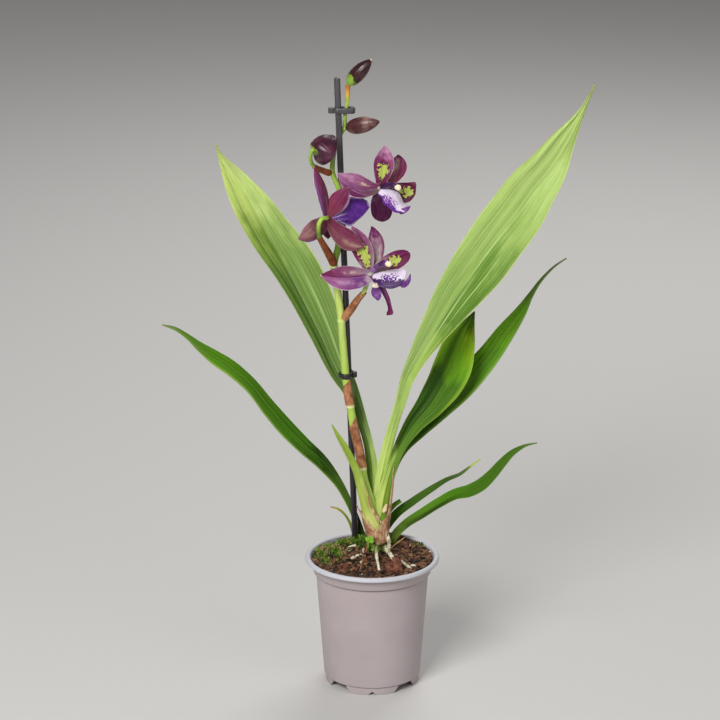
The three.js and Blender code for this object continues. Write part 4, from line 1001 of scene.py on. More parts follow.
def shoot_material():
    """A young green shoot whose tip has dried to cream."""
    s = Surface("new_shoot", roughness=0.5, specular_ior_level=0.4)
    where = s.where()
    cloud = where.noise(260)
    height = where.parts()[2] + cloud.span(0.3, 0.7, -0.0012, 0.0012)
    s.colour = height.span(0.135, 0.165).ramp(
        "0 #8aa63c 0.5 #5c9418 0.66 #6d8a2c 0.71 #7a4e34 0.76 #e3d3a6 1 #d9c08c"
    )
    return s.done(cloud, 0.2)


# ---- pieces -----------------------------------------------------------------------------------


def stand_for(piece, node):
    """A finer piece takes the place of a solid."""
    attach(piece, "root")
    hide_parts(node)


def lie_in(piece):
    """A piece that no solid stands for."""
    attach(piece, "root")


def shaped(obj, kind, **settings):
    """Lays the form that a modifier gives down in the object's mesh."""
    modifier = obj.modifiers.new("shaping", kind)
    for key, value in settings.items():
        setattr(modifier, key, value)
    bpy.context.view_layer.update()
    obj.data = bpy.data.meshes.new_from_object(obj.evaluated_get(bpy.context.evaluated_depsgraph_get()))
    obj.modifiers.clear()


# ---- pot --------------------------------------------------------------------------------------

BOX_FACES = [(0, 1, 3, 2), (4, 6, 7, 5), (0, 4, 5, 1), (2, 3, 7, 6), (0, 2, 6, 4), (1, 5, 7, 3)]


def wall_radius(z):
    return POT.wall_foot_radius + (POT.wall_top_radius - POT.wall_foot_radius) * z / POT.step_height


def rounded(profile, radius):
    """A profile with its corners eased by short arcs."""
    points = [np.array(p, float) for p in profile]
    eased = [points[0]]
    for before, corner, after in zip(points, points[1:], points[2:]):
        ways = [before - corner, after - corner]
        reach = min(radius, *(0.45 * np.linalg.norm(way) for way in ways))
        ends = [corner + unit(way) * reach for way in ways]
        for w in (0, 0.33, 0.67, 1):
            eased.append((1 - w) ** 2 * ends[0] + 2 * w * (1 - w) * corner + w ** 2 * ends[1])
    return eased + [points[-1]]


def lathe(shape, profile, sides):
    """A turned form. The profile, [radius, height], starts and ends on the axis."""
    points = [(*on_circle(r, k, sides), z) for r, z in profile[1:-1] for k in range(sides)]
    ends = [(0, 0, profile[0][1]), (0, 0, profile[-1][1])]
    shape.add(points + ends, closed_faces(len(profile) - 2, sides))


def block(shape, deep, widths, heights, turn, place):
    """A block for cutting, with one width at its lower height and another at the upper."""
    corners = []
    for x in (-deep / 2, deep / 2):
        for y in (-0.5, 0.5):
            for width, height in zip(widths, heights):
                out, aside = turned(x, y * width, turn)
                corners.append((place[0] + out, place[1] + aside, height))
    shape.add(corners, BOX_FACES)


def pot_piece(material):
    """The moulded pot: a flared collar under the rolled rim, and feet set back under the wall."""
    foot = wall_radius(0) - FEET.setback
    hollow = foot - POT.foot_ring
    top, shelf, rim = POT.rim_top, POT.rim_top - POT.rim_plate, POT.rim_radius
    collar, wall, step, inner = POT.collar_radius, POT.wall_top_radius, POT.step_height, POT.wall
    profile = [
        [0, 0], [POT.boss_radius, 0], [POT.boss_radius + POT.draft, POT.hollow_height],
        [hollow - POT.draft / 2, POT.hollow_height], [hollow, 0], [foot, 0], [foot + 0.3, FEET.top],
        [wall_radius(FEET.top) + 0.1, FEET.top + 0.5], [wall, step - 1.2], [wall - 0.6, step - 0.6],
        [wall - 0.4, step], [collar, step + 0.2], [collar + 0.8, step + 3], [collar + 2.4, step + 9.5],
        [POT.mouth + 1, shelf], [rim - 1.4, shelf], [rim - 1.2, top - POT.rim_drop],
        [rim, top - POT.rim_drop + 0.4], [rim, top - 1.5], [rim - 1.5, top], [POT.mouth + 1.4, top - 0.1],
        [POT.mouth, top - 1.3], [collar + 2.4 - inner, step + 9.5], [collar - inner, step + 4],
        [collar - inner - 0.9, step], [wall - inner, step - 2],
        [wall_radius(POT.floor_height) - inner, POT.floor_height], [0, POT.floor_height],
    ]
    shape = Shape()
    lathe(shape, rounded(profile, 0.8), 144)
    pot = shape.piece("pot_moulded", [material], sharp=40)
    cutters = Shape()
    notch = FEET.notch_height
    block(cutters, 9, (20, 0.2), (notch - 8, notch), math.pi / 2, (0, -foot))
    gap = 2 * foot * math.sin(math.radians(FEET.gap_degrees / 2))
    for k in range(FEET.count):
        turn = 2 * math.pi * (k + 0.5) / FEET.count
        widths, heights = (gap + 2 * FEET.slant, gap - 2), (-FEET.top, FEET.top - 0.3)
        block(cutters, 10, widths, heights, turn, turned(foot, 0, turn))
    for k in range(DRAIN.count):
        place = on_circle(DRAIN.ring, k, DRAIN.count)
        add_tube(cutters, [[*place, -1], [*place, 12]], DRAIN.radius, sides=24, steps=1)
    cutter = cutters.piece("pot_cutters", [])
    shaped(pot, "BOOLEAN", object=cutter, operation="DIFFERENCE", solver="EXACT")
    bpy.data.objects.remove(cutter)
    pot.data.set_sharp_from_angle(angle=math.radians(40))
    stand_for(pot, "pot")


# ---- soil and what lies in it -----------------------------------------------------------------


def soil_top(x, y):
    """The surface: a low dome, a rise to the rim at the front and sides, and the moss mounds."""
    cx, cy = SOIL.dome
    off = (x - cx) ** 2 + (y - cy) ** 2
    z = SOIL.edge_height + SOIL.dome_height * math.exp(-off / (2 * SOIL.dome_spread ** 2))
    back = smooth(10, 42, y) * (1 - smooth(-8, 24, x))
    z += SOIL.rise * smooth(30, 53, math.hypot(x, y)) * (1 - back)
    for bx, by, long, wide, degrees, _, height in MOSS_BEDS:
        a, b = turned(x - bx, y - by, -math.radians(degrees))
        z += height * bell(a, long) * bell(b, wide)
    return float(z + SOIL.rough * rough((x, y, 0), 7, seed=2, octaves=4) - 0.3)


def soil_piece(material):
    sides, rows = 180, 54
    clear = POT.wall + SOIL.clearance
    floor = POT.floor_height + 0.5
    rings = [
        (wall_radius(floor) - clear, floor, 0), (POT.wall_top_radius - clear, 100, 0),
        (POT.collar_radius - clear, 107, 0), (SOIL.radius - 0.7, 111, 0),
    ]
    rings += [(SOIL.radius * (1 - i / rows), None, 0.5 * (i % 2)) for i in range(rows)]
    points = []
    for r, z, shift in rings:
        for k in range(sides):
            x, y = on_circle(r, k + shift, sides)
            points.append((x, y, soil_top(x, y) if z is None else z))
    shape = Shape()
    shape.add(points + [(0, 0, floor), (0, 0, soil_top(0, 0))], closed_faces(len(rings), sides))
    stand_for(shape.piece("soil_mix", [material], sharp=180), "soil")


def chunk(shape, draw, centre, size, flat, long):
    """A broken crumb: a squashed box with its corners pushed about."""
    turn = draw.uniform(0, math.pi)
    ways = (turned(1, 0, turn), turned(0, 1, turn))
    axes = [unit(np.array([*way, draw.uniform(-0.4, 0.4)])) for way in ways]
    axes.append(unit(np.cross(*axes)))
    lengths = [size * long, size * draw.uniform(0.4, 0.9), size * flat * draw.uniform(0.5, 1)]
    points = []
    for x in (-0.5, 0.5):
        for y in (-0.5, 0.5):
            for z in (-0.5, 0.5):
                push = [c + draw.uniform(-0.2, 0.2) for c in (x, y, z)]
                points.append(centre + sum(axes[k] * push[k] * lengths[k] for k in range(3)))
    shape.add(points, BOX_FACES, place=[(draw.random() ** 1.9, 0)] * 8)


def inside_pot(draw, reach):
    """A random place on the soil."""
    r, turn = reach * math.sqrt(draw.random()), draw.uniform(0, 2 * math.pi)
    return turned(r, 0, turn)


def crumbs_piece(material):
    draw = random.Random(11)
    shape = Shape()
    for _ in range(SOIL.crumbs):
        x, y = inside_pot(draw, 53)
        size = draw.choice((0.6, 0.8, 1.0, 1.2, 1.5, 2.2, 3.2))
        flat, lift = draw.uniform(0.3, 0.9), draw.uniform(0, 0.5)
        centre = np.array([x, y, soil_top(x, y) + lift * size])
        chunk(shape, draw, centre, size, flat, long=draw.uniform(0.6, 1.9))
    lie_in(shape.piece("soil_crumbs", [material], sharp=30))


def fibre(shape, draw, x, y, turn, length, radius, tint, lift=0.9):
    """A thin fibre that lies on the soil and humps a little."""
    bend, route = draw.uniform(-0.7, 0.7), []
    for k in range(5):
        dx, dy = turned(length * k / 4, 0, turn)
        if math.hypot(x + dx, y + dy) > 52:
            break
        turn += bend * 0.4
        hump = draw.uniform(0, lift) * (k in (1, 2, 3))
        route.append([x + dx, y + dy, soil_top(x + dx, y + dy) + 0.4 + hump])
    if len(route) >= 3:
        add_tube(shape, route, radius, sides=5, steps=3 * (len(route) - 1), tint=tint)


def fibres_piece(material):
    draw = random.Random(12)
    shape = Shape()
    for _ in range(SOIL.fibres):
        x, y = inside_pot(draw, 51)
        turn, length = draw.uniform(0, 2 * math.pi), draw.uniform(2, 11)
        fibre(shape, draw, x, y, turn, length, draw.choice((0.07, 0.09, 0.12, 0.2)), draw.random())
    for _ in range(SOIL.long_fibres):
        x, y = draw.uniform(-50, -20), draw.uniform(8, 40)
        turn, length = draw.uniform(0, 2 * math.pi), draw.uniform(5, 13)
        fibre(shape, draw, x, y, turn, length, 0.13, draw.uniform(0.6, 1), lift=5)
    lie_in(shape.piece("soil_fibres", [material]))


def shoot(shape, draw, foot):
    """One moss shoot: a curved row of pointed leaflets on both sides."""
    turn, tilt = draw.uniform(0, 2 * math.pi), draw.uniform(0.15, 1.2)
    length, tint = draw.uniform(2.2, 6), draw.random() ** 1.4
    way = np.array([*turned(math.cos(tilt), 0, turn), math.sin(tilt)])
    side = np.array([*turned(0, 1, turn), 0])
    joints = 6
    for share in (k / joints for k in range(joints)):
        base = foot + way * length * share + np.array([0, 0, 0.5 * length * share * (1 - share)])
        reach = draw.uniform(0.8, 1.5) * (1 - 0.4 * share)
        for sign in (-1, 1):
            tip = base + side * sign * reach + way * reach * 0.7 + np.array([0, 0, draw.uniform(0, 0.5)])
            points = [base - way * 0.28, base + way * 0.28, tip, base + np.array([0, 0, 0.12])]
            shape.add(points, [(0, 1, 3), (1, 2, 3), (2, 0, 3), (0, 2, 1)], place=[(tint, share)] * 4)


def moss_piece(material):
    """Small leafy shoots in beds at the back and on the left."""
    draw = random.Random(13)
    shape = Shape()
    for bx, by, long, wide, degrees, count, _ in MOSS_BEDS:
        for _ in range(count):
            a, b = draw.gauss(0, 0.52) * long, draw.gauss(0, 0.52) * wide
            dx, dy = turned(a, b, math.radians(degrees))
            x, y = bx + dx, by + dy
            if math.hypot(x, y) < 52.6:
                shoot(shape, draw, np.array([x, y, soil_top(x, y) - 0.3]))
    lie_in(shape.piece("moss_shoots", [material]))


def knob(shape, centre, radii, turn, seed):
    """A small lumpy ball, longer one way."""
    start = len(shape.points)
    ball(shape, [0, 0, 0], radii, rows=7, sides=10, bumps=0.35, seed=seed)
    for k in range(start, len(shape.points)):
        x, y, z = shape.points[k]
        shape.points[k] = [c + d for c, d in zip(centre, (*turned(x, y, turn), z))]


def leaflet(shape, centre, size, turn):
    """A round leaflet that faces forwards, notched at its far end."""
    count = 18
    points = []
    for side in (-1, 1):
        for k in range(count):
            angle = 2 * math.pi * k / count
            notch = 0.3 * bell((angle + math.pi) % (2 * math.pi) - math.pi, 0.3)
            x, z = turned(size * (1 - notch), 0, angle + turn)
            points.append(centre + np.array([x, 0.35 * side + 0.08 * size * math.cos(2 * angle), z]))
    points += [centre - np.array([0, 0.6, 0]), centre + np.array([0, 0.2, 0])]
    faces = []
    for k in range(count):
        after = (k + 1) % count
        faces += [(k, after, 2 * count), (count + after, count + k, 2 * count + 1)]
        faces.append((after, k, count + k, count + after))
    shape.add(points, faces, place=[(0.5, 0)] * len(points))


def litter_pieces(white, stick, straw, leafy):
    draw = random.Random(14)
    shape = Shape()
    for x, y, long, wide, degrees, rise in LITTER:
        turn = math.radians(degrees)
        for k in range(4):
            dx, dy = turned((k - 1.5) / 4 * long, 0, turn)
            centre = [x + dx, y + dy, soil_top(x + dx, y + dy) + rise + draw.uniform(-0.2, 0.3)]
            radii = [0.42 * long * draw.uniform(0.7, 1), wide / 2 * draw.uniform(0.7, 1), 0.4 * wide]
            knob(shape, centre, radii, turn + draw.uniform(-0.3, 0.3), seed=k + x)
    lie_in(shape.piece("root_scraps", [white], sharp=40))

    shape = Shape()
    places = [(-2.6, 38, 3.5), (-4.2, 24, 2.4), (-6.6, 8, 1.8), (-9.6, -8, 1.6), (-11.5, -25, 0.8)]
    route = [[x, y, soil_top(x, y) + lift] for x, y, lift in places]
    add_tube(shape, route, [0.75, 0.8, 0.8, 0.75, 0.6], sides=9, steps=24)
    lie_in(shape.piece("old_stalk", [stick]))

    shape = Shape()
    route = [[16.6, 25.6, 114.8], [21.5, 29.8, 117.2], [26, 33.2, 119.6], [29.9, 36.6, 121.4]]
    add_tube(shape, route, [0.7, 0.65, 0.55, 0.4], sides=8, steps=18)
    lie_in(shape.piece("straw_twig", [straw]))

    shape = Shape()
    leaflets = ((-1.9, 1.0, 2.1), (1.4, 1.8, 2.0), (1.9, -1.2, 2.1), (-1.4, -1.6, 1.7))
    for k, (dx, dz, size) in enumerate(leaflets):
        leaflet(shape, np.array([-2.4 + dx, 8 + 0.4 * k, 129.5 + dz]), size, math.atan2(dz, dx))
    add_tube(shape, [[-2.4, 8.6, 129.5], [-3.6, 10, 121], [-4, 14, 112.5]], 0.35, sides=7, steps=10)
    lie_in(shape.piece("clover_leaf", [leafy], sharp=60))


def chip_piece(node, material, size, turn, place, seed, tilt):
    """A broken slab of bark, sunk a little into the soil."""
    rows, columns, layers = 16, 30, 5
    cx, cy, cz = place

    def broken(a, b):
        """The far end breaks back on one side and comes to a corner on the other."""
        back = 0.55 * smooth(0.05, -0.25, a) + 0.6 * max(0, a - 0.35) + 0.25 * max(0, -0.6 - a)
        return b - (b + 1) / 2 * back + 0.12 * rough((9 * a, 0, 0), 2, seed=seed) * max(0, -b)

    def spot(a, b, c):
        corner = max(abs(a), abs(b)) ** 6
        crack = 0.9 * bell(a + 0.15 + 0.1 * b, 0.07) * max(c, 0)
        x, y = a * size[0] / 2, broken(a, b) * size[1] / 2
        z = c * size[2] / 2 * (1 - 0.35 * corner) - crack
        x += 0.8 * rough((x, y, z), 6, seed=seed) - 0.4 * a * c
        y += 0.8 * rough((y, x, z), 6, seed=seed + 1)
        z += 0.5 * rough((x, 3 * y, z), 5, seed=seed + 2)
        y, z = turned(y, z, tilt)
        x, y = turned(x, y, turn)
        return cx + x, cy + y, cz + size[1] / 2 * math.sin(tilt) + z

    def edge(k, count):
        return 2 * k / count - 1

    shape = Shape()
    grid = [(edge(j, columns), edge(i, rows)) for i in range(rows + 1) for j in range(columns + 1)]
    for sign in (1, -1):
        points = [spot(a, b, sign) for a, b in grid]
        shape.add(points, grid_faces(rows + 1, columns + 1, flip=sign > 0))
    loop = [(edge(j, columns), -1) for j in range(columns)] + [(1, edge(i, rows)) for i in range(rows)]
    loop += [(-a, -b) for a, b in loop]
    points = [spot(a, b, edge(k, layers)) for k in range(layers + 1) for a, b in loop]
    shape.add(points, grid_faces(layers + 1, len(loop), wrap_columns=True, flip=True))
    piece = shape.piece(node + "_broken", [material], sharp=60)
    shaped(piece, "WELD", merge_threshold=0.01 * MM)
    stand_for(piece, node)


# ---- the crown --------------------------------------------------------------------------------


def sheath_rings(inset, sides=144, rows=30):
    """The sheath's rings. Each ring's height differs with the angle, up to the torn rim."""
    heights, middles, halves, depths = zip(*SHEATH_BODY)
    foot = heights[0]
    rings = []
    for i in range(rows + 1):
        ring = []
        for k in range(sides):
            cos, sin = on_circle(1, k, sides)
            torn = 0.4 * rough((3 * cos, 3 * sin, 0), 0.5, seed=4)
            top = np.interp(360 * k / sides, *zip(*SHEATH_RIM)) + torn
            z = foot + (top - foot) * i / rows
            crease = 0.5 * rough((8 * cos, 8 * sin, z / 30), 1, seed=5)
            crease += 0.5 * rough((2.5 * cos, 2.5 * sin, z / 12), 1, seed=6) - inset
            flare = 0.8 * smooth(top - 9, top, z) * math.cos(8 * math.pi * k / sides)
            wing = 0.2 * max(0, z - 147) * smooth(-0.75, -1, cos)
            x = np.interp(z, heights, middles) - wing + (np.interp(z, heights, halves) + crease + flare) * cos
            ring.append((x, BULB.middle[1] + (np.interp(z, heights, depths) + crease) * sin, z))
        rings.append(ring)
    return np.array(rings)


def crown_pieces(bulb, husk, root, green):
    shape = Shape()
    ball(shape, BULB.middle, BULB.radii, rows=24, sides=40, bumps=0.06, seed=1)
    stand_for(shape.piece("pseudobulb_skin", [bulb], sharp=180), "pseudobulb")

    shape = Shape()
    add_sleeve(shape, sheath_rings(0), sheath_rings(0.5))
    add_blade(shape, DRY_MARGIN, columns=8, rows=40, thick=0.5, waves=3, wave_depth=0.3)
    stand_for(shape.piece("dry_sheath_paper", [husk], sharp=70), "dry_sheath")

    shape = Shape()
    route = [[9.2, 15.4, 138], [10, 14.8, 148], [11.3, 13.8, 156.5], [13, 13.2, 162]]
    add_tube(shape, route, [2.3, 2.5, 2.1, 0.9], sides=20, steps=24)
    lie_in(shape.piece("new_shoot", [green], sharp=180))

    shape = Shape()
    x, y = BULB.middle[:2]
    add_tube(shape, [[x, y, ROOT.core_foot], [x, y, ROOT.core_top]], ROOT.core_radius, sides=20, steps=6)
    for n, (route, girth) in enumerate(zip(ROOT_ROUTES, ROOT_GIRTHS)):
        radii = [ROOT.radius * girth * (1.05 - 0.4 * k / len(route)) for k in range(len(route))]

        def lumps(angle, share, n=n):
            return 1 + 0.18 * rough((share * 9, math.cos(angle), math.sin(angle)), 1, seed=n)

        add_tube(shape, route, radii, sides=14, steps=14 * (len(route) - 1), ripple=lumps)
    stand_for(shape.piece("roots_spongy", [root], sharp=180), "roots")


# ---- leaves, stem and flowers -----------------------------------------------------------------


def leaf_piece(node, material, creases):
    """A leaf, with soft uneven folds along it and a groove at each narrow crease."""
    spec = dict(LEAVES[node])
    stations = spec.pop("stations")
    columns = 60 if spec["thick_foot"] == BROAD["thick_foot"] else 26
    seed = len(node) + spec.get("phase", 0)

    def folds(u, t, reach):
        full = min(1, reach / FULL_HALF)
        height = 0.9 * full * rough((3.2 * u, 2.2 * t, 0), 1, seed=seed)
        for at, width, start, end, _, strength in creases:
            if width < 0.1:
                shown = smooth(start - 0.08, start + 0.08, t) * (1 - smooth(end - 0.08, end + 0.08, t))
                height -= 0.7 * full * strength * float(shown) * bell(u - at, 0.02 + 0.5 * width)
        return height

    shape = Shape()
    add_blade(shape, stations, columns, rows=10 * (len(stations) - 1), edge=0.3, relief=folds, **spec)
    stand_for(shape.piece(node + "_pleated", [material], sharp=75), node)


def stem_piece(material):
    span = len(STEM_ROUTE) - 1
    heights = [p[2] for p in STEM_ROUTE]
    radii = [float(np.interp(height, *zip(*STEM_RADII))) for height in heights]

    def joints(angle, share):
        z = np.interp(share * span, range(span + 1), heights)
        return 1 + 0.14 * sum(bell(z - ring, 1.6) for ring in STEM_RINGS)

    shape = Shape()
    add_tube(shape, STEM_ROUTE, radii, sides=20, steps=14 * span, ripple=joints)
    for radius, route in STALKS:
        add_tube(shape, route, radius, sides=16, steps=8 * (len(route) - 1))
    stand_for(shape.piece("flower_spike_stem", [material], sharp=180), "flower_spike")


def bract_piece(node, material, seed, route, radii, slant):
    """A papery bract rolled close round its stem, with a slanting mouth."""
    def ridges(angle, share):
        return 1 + 0.05 * rough((4 * math.cos(angle), 4 * math.sin(angle), 2 * share), 1, seed=seed)

    sleeves = []
    for wall in (0.55, 0.15):
        walls = [r + wall for r in radii]
        sleeves.append(tube_rings(route, walls, 36, 10 * (len(route) - 1), slant=slant, ripple=ridges))
    shape = Shape()
    add_sleeve(shape, *sleeves)
    stand_for(shape.piece(node + "_papery", [material], sharp=70), node)


def bud_piece(node, material, point):
    """A bud of three overlapping sepals, whose seams run from foot to tip."""
    foot, tip = np.array(BUDS[node]["foot"], float), np.array(BUDS[node]["tip"], float)
    route = [list(foot + (tip - foot) * share) for share, _ in BUD_SHAPE]
    radii = [BUDS[node]["radius"] * width for _, width in BUD_SHAPE]
    foreshortened = node == "bud_left"

    def sepals(angle, share):
        third = (angle + 0.5 * math.sin(2.5 * share) + 0.4) % (2 * math.pi / 3) - math.pi / 3
        lap = 0.05 * smooth(-0.05, 0.05, third) * bell(third, 0.7) - 0.05 * bell(third, 0.07)
        swell = 1 - 0.02 * math.cos(3 * angle)
        if foreshortened:
            swell = np.interp(math.degrees(angle), *zip(*BUD_OUTLINE))
        return float(swell + lap * smooth(0, 0.3, share) * (1 - smooth(0.9, 1, share)))

    shape = Shape()
    add_tube(shape, route, radii, sides=90, steps=48, ripple=sepals)
    if not foreshortened:
        ball(shape, tip - 0.03 * (tip - foot), [1.25] * 3, finish=1)
    materials = [material] if foreshortened else [material, point]
    stand_for(shape.piece(node + "_closed", materials, sharp=180), node)


def tepal_stations(hub, tip, lift, half, roll=(0, 0), shape="pointed"):
    hub, reach, lift = (np.array(v, float) for v in (hub, np.subtract(tip, hub), lift))
    stations = []
    for share, *widths in TEPAL_SHAPES[shape]:
        point = hub + reach * share + lift * 4 * share * (1 - share)
        turn = roll[0] + (roll[1] - roll[0]) * share
        stations.append([*point, half * widths[0], half * widths[-1], turn, 0])
    return stations


def bloom_pieces(node, looks, finishes):
    """Looks names the finishes of the tepals' fronts and backs, of the lip and of the column."""
    bloom = BLOOMS[node]
    hub = bloom["hub"]
    names = sorted({*looks["faces"], *looks["backs"], "hub"})
    shape = Shape()
    ball(shape, hub, [2.2] * 3, finish=names.index("hub"))
    for n, (tepal, face, back) in enumerate(zip(bloom["tepals"], looks["faces"], looks["backs"])):
        form = dict(tepal)
        cup = form.pop("cup")

        def folds(u, t, reach, n=n):
            fold = 0.7 * rough((1.5 * u, 2 * t, 0), 1, seed=n + hub[0]) * smooth(0, 0.3, t)
            return min(1, reach / 6) * (fold - 0.6 * bell(u, 0.14))

        add_blade(
            shape, tepal_stations(hub, **form), columns=24, rows=42, thick=0.7, thick_foot=1.5, waves=1.5,
            wave_depth=0.7, cup=cup, phase=1.7 * n, edge=0.4, relief=folds,
            finishes=[names.index(face), names.index(back)],
        )
    stand_for(shape.piece(node + "_petals", [finishes[k] for k in names], sharp=75), node + "_tepals")

    shape = Shape()
    add_tube(shape, bloom["column"], COLUMN_RADII, sides=24, steps=24)
    ball(shape, bloom["column"][-1], [3.1, 2.6, 2.5], bumps=0.2, finish=1)
    pair = [finishes[looks["column"]], finishes["anther"]]
    stand_for(shape.piece(node + "_column_waxy", pair, sharp=180), node + "_column")

    def frill(u, t, reach):
        return looks["frill"] * math.sin(8 * u + 11 * t) * max(abs(u), t) ** 5

    shape = Shape()
    add_blade(
        shape, bloom["lip"], columns=40, rows=40, thick=0.7, thick_foot=1.6, cup=-0.22, waves=2.5,
        wave_depth=1.6 * looks["frill"], edge=0.4, relief=frill, finishes=(0, 1),
    )
    for n, lobe in enumerate(bloom.get("lobes", [])):
        add_blade(shape, lobe, 14, 20, 0.7, waves=2, wave_depth=1.2, phase=n, edge=0.4, finishes=(2, 2))
    if "callus" in bloom:
        ball(shape, bloom["callus"], [3.4, 2.3, 2.3], rows=16, sides=24, bumps=0.3, seed=3, finish=3)
    kinds = [finishes[k] for k in looks["lip"]]
    stand_for(shape.piece(node + "_lip_frilled", kinds, sharp=75), node + "_lip")


# ---- support ----------------------------------------------------------------------------------


def stake_at(share):
    foot, top = np.array(STAKE.foot, float), np.array(STAKE.top, float)
    return foot + (top - foot) * share


def stake_piece(material):
    shape = Shape()
    route = [list(stake_at(share)) for share in (0, 0.25, 0.5, 0.75, 0.996, 0.999, 1)]
    add_tube(shape, route, [STAKE.radius * k for k in (1, 1, 1, 1, 1, 0.92, 0.7)], sides=32, steps=60)
    stand_for(shape.piece("stake_rod", [material], sharp=50), "stake")


def stadium(a, b, radius, arc=12):
    """Points round two circles of the same radius."""
    turn = math.atan2(b[1] - a[1], b[0] - a[0])
    points = []
    for centre, start in ((b, turn - math.pi / 2), (a, turn + math.pi / 2)):
        for k in range(arc + 1):
            x, y = turned(radius, 0, start + math.pi * k / arc)
            points.append((centre[0] + x, centre[1] + y))
    return points


def clip_piece(node, material, z, spike, hole, grips):
    """A band round the stake and the stem, with rounded edges and its ribbed grips."""
    a = stake_at((z - STAKE.foot[2]) / (STAKE.top[2] - STAKE.foot[2]))
    half, bevel, wall = CLIP.height / 2, CLIP.bevel, CLIP.wall
    section = [
        (0, bevel - half), (0, half - bevel), (bevel, half), (wall - bevel, half), (wall, half - bevel),
        (wall, bevel - half), (wall - bevel, -half), (bevel, -half),
    ]
    rings = np.array([[(*p, z + rise) for p in stadium(a, spike, hole + out)] for out, rise in section])
    shape = Shape()
    shape.add(rings, grid_faces(len(rings), len(rings[0]), wrap_columns=True, wrap_rows=True))
    heights = (-half, 0.01 - half, bevel - half, 0, half - bevel, half - 0.01, half)

    def ribs(angle, share):
        return 1 + 0.07 * math.cos(10 * angle)

    for x, y, radius in grips:
        route = [[x, y, z + height] for height in heights]
        radii = [radius * k for k in (0.8, 0.85, 1, 1, 1, 0.85, 0.8)]
        add_tube(shape, route, radii, sides=60, steps=24, ripple=ribs)
    stand_for(shape.piece(node + "_band", [material], sharp=50), node)


# ---- colours ----------------------------------------------------------------------------------

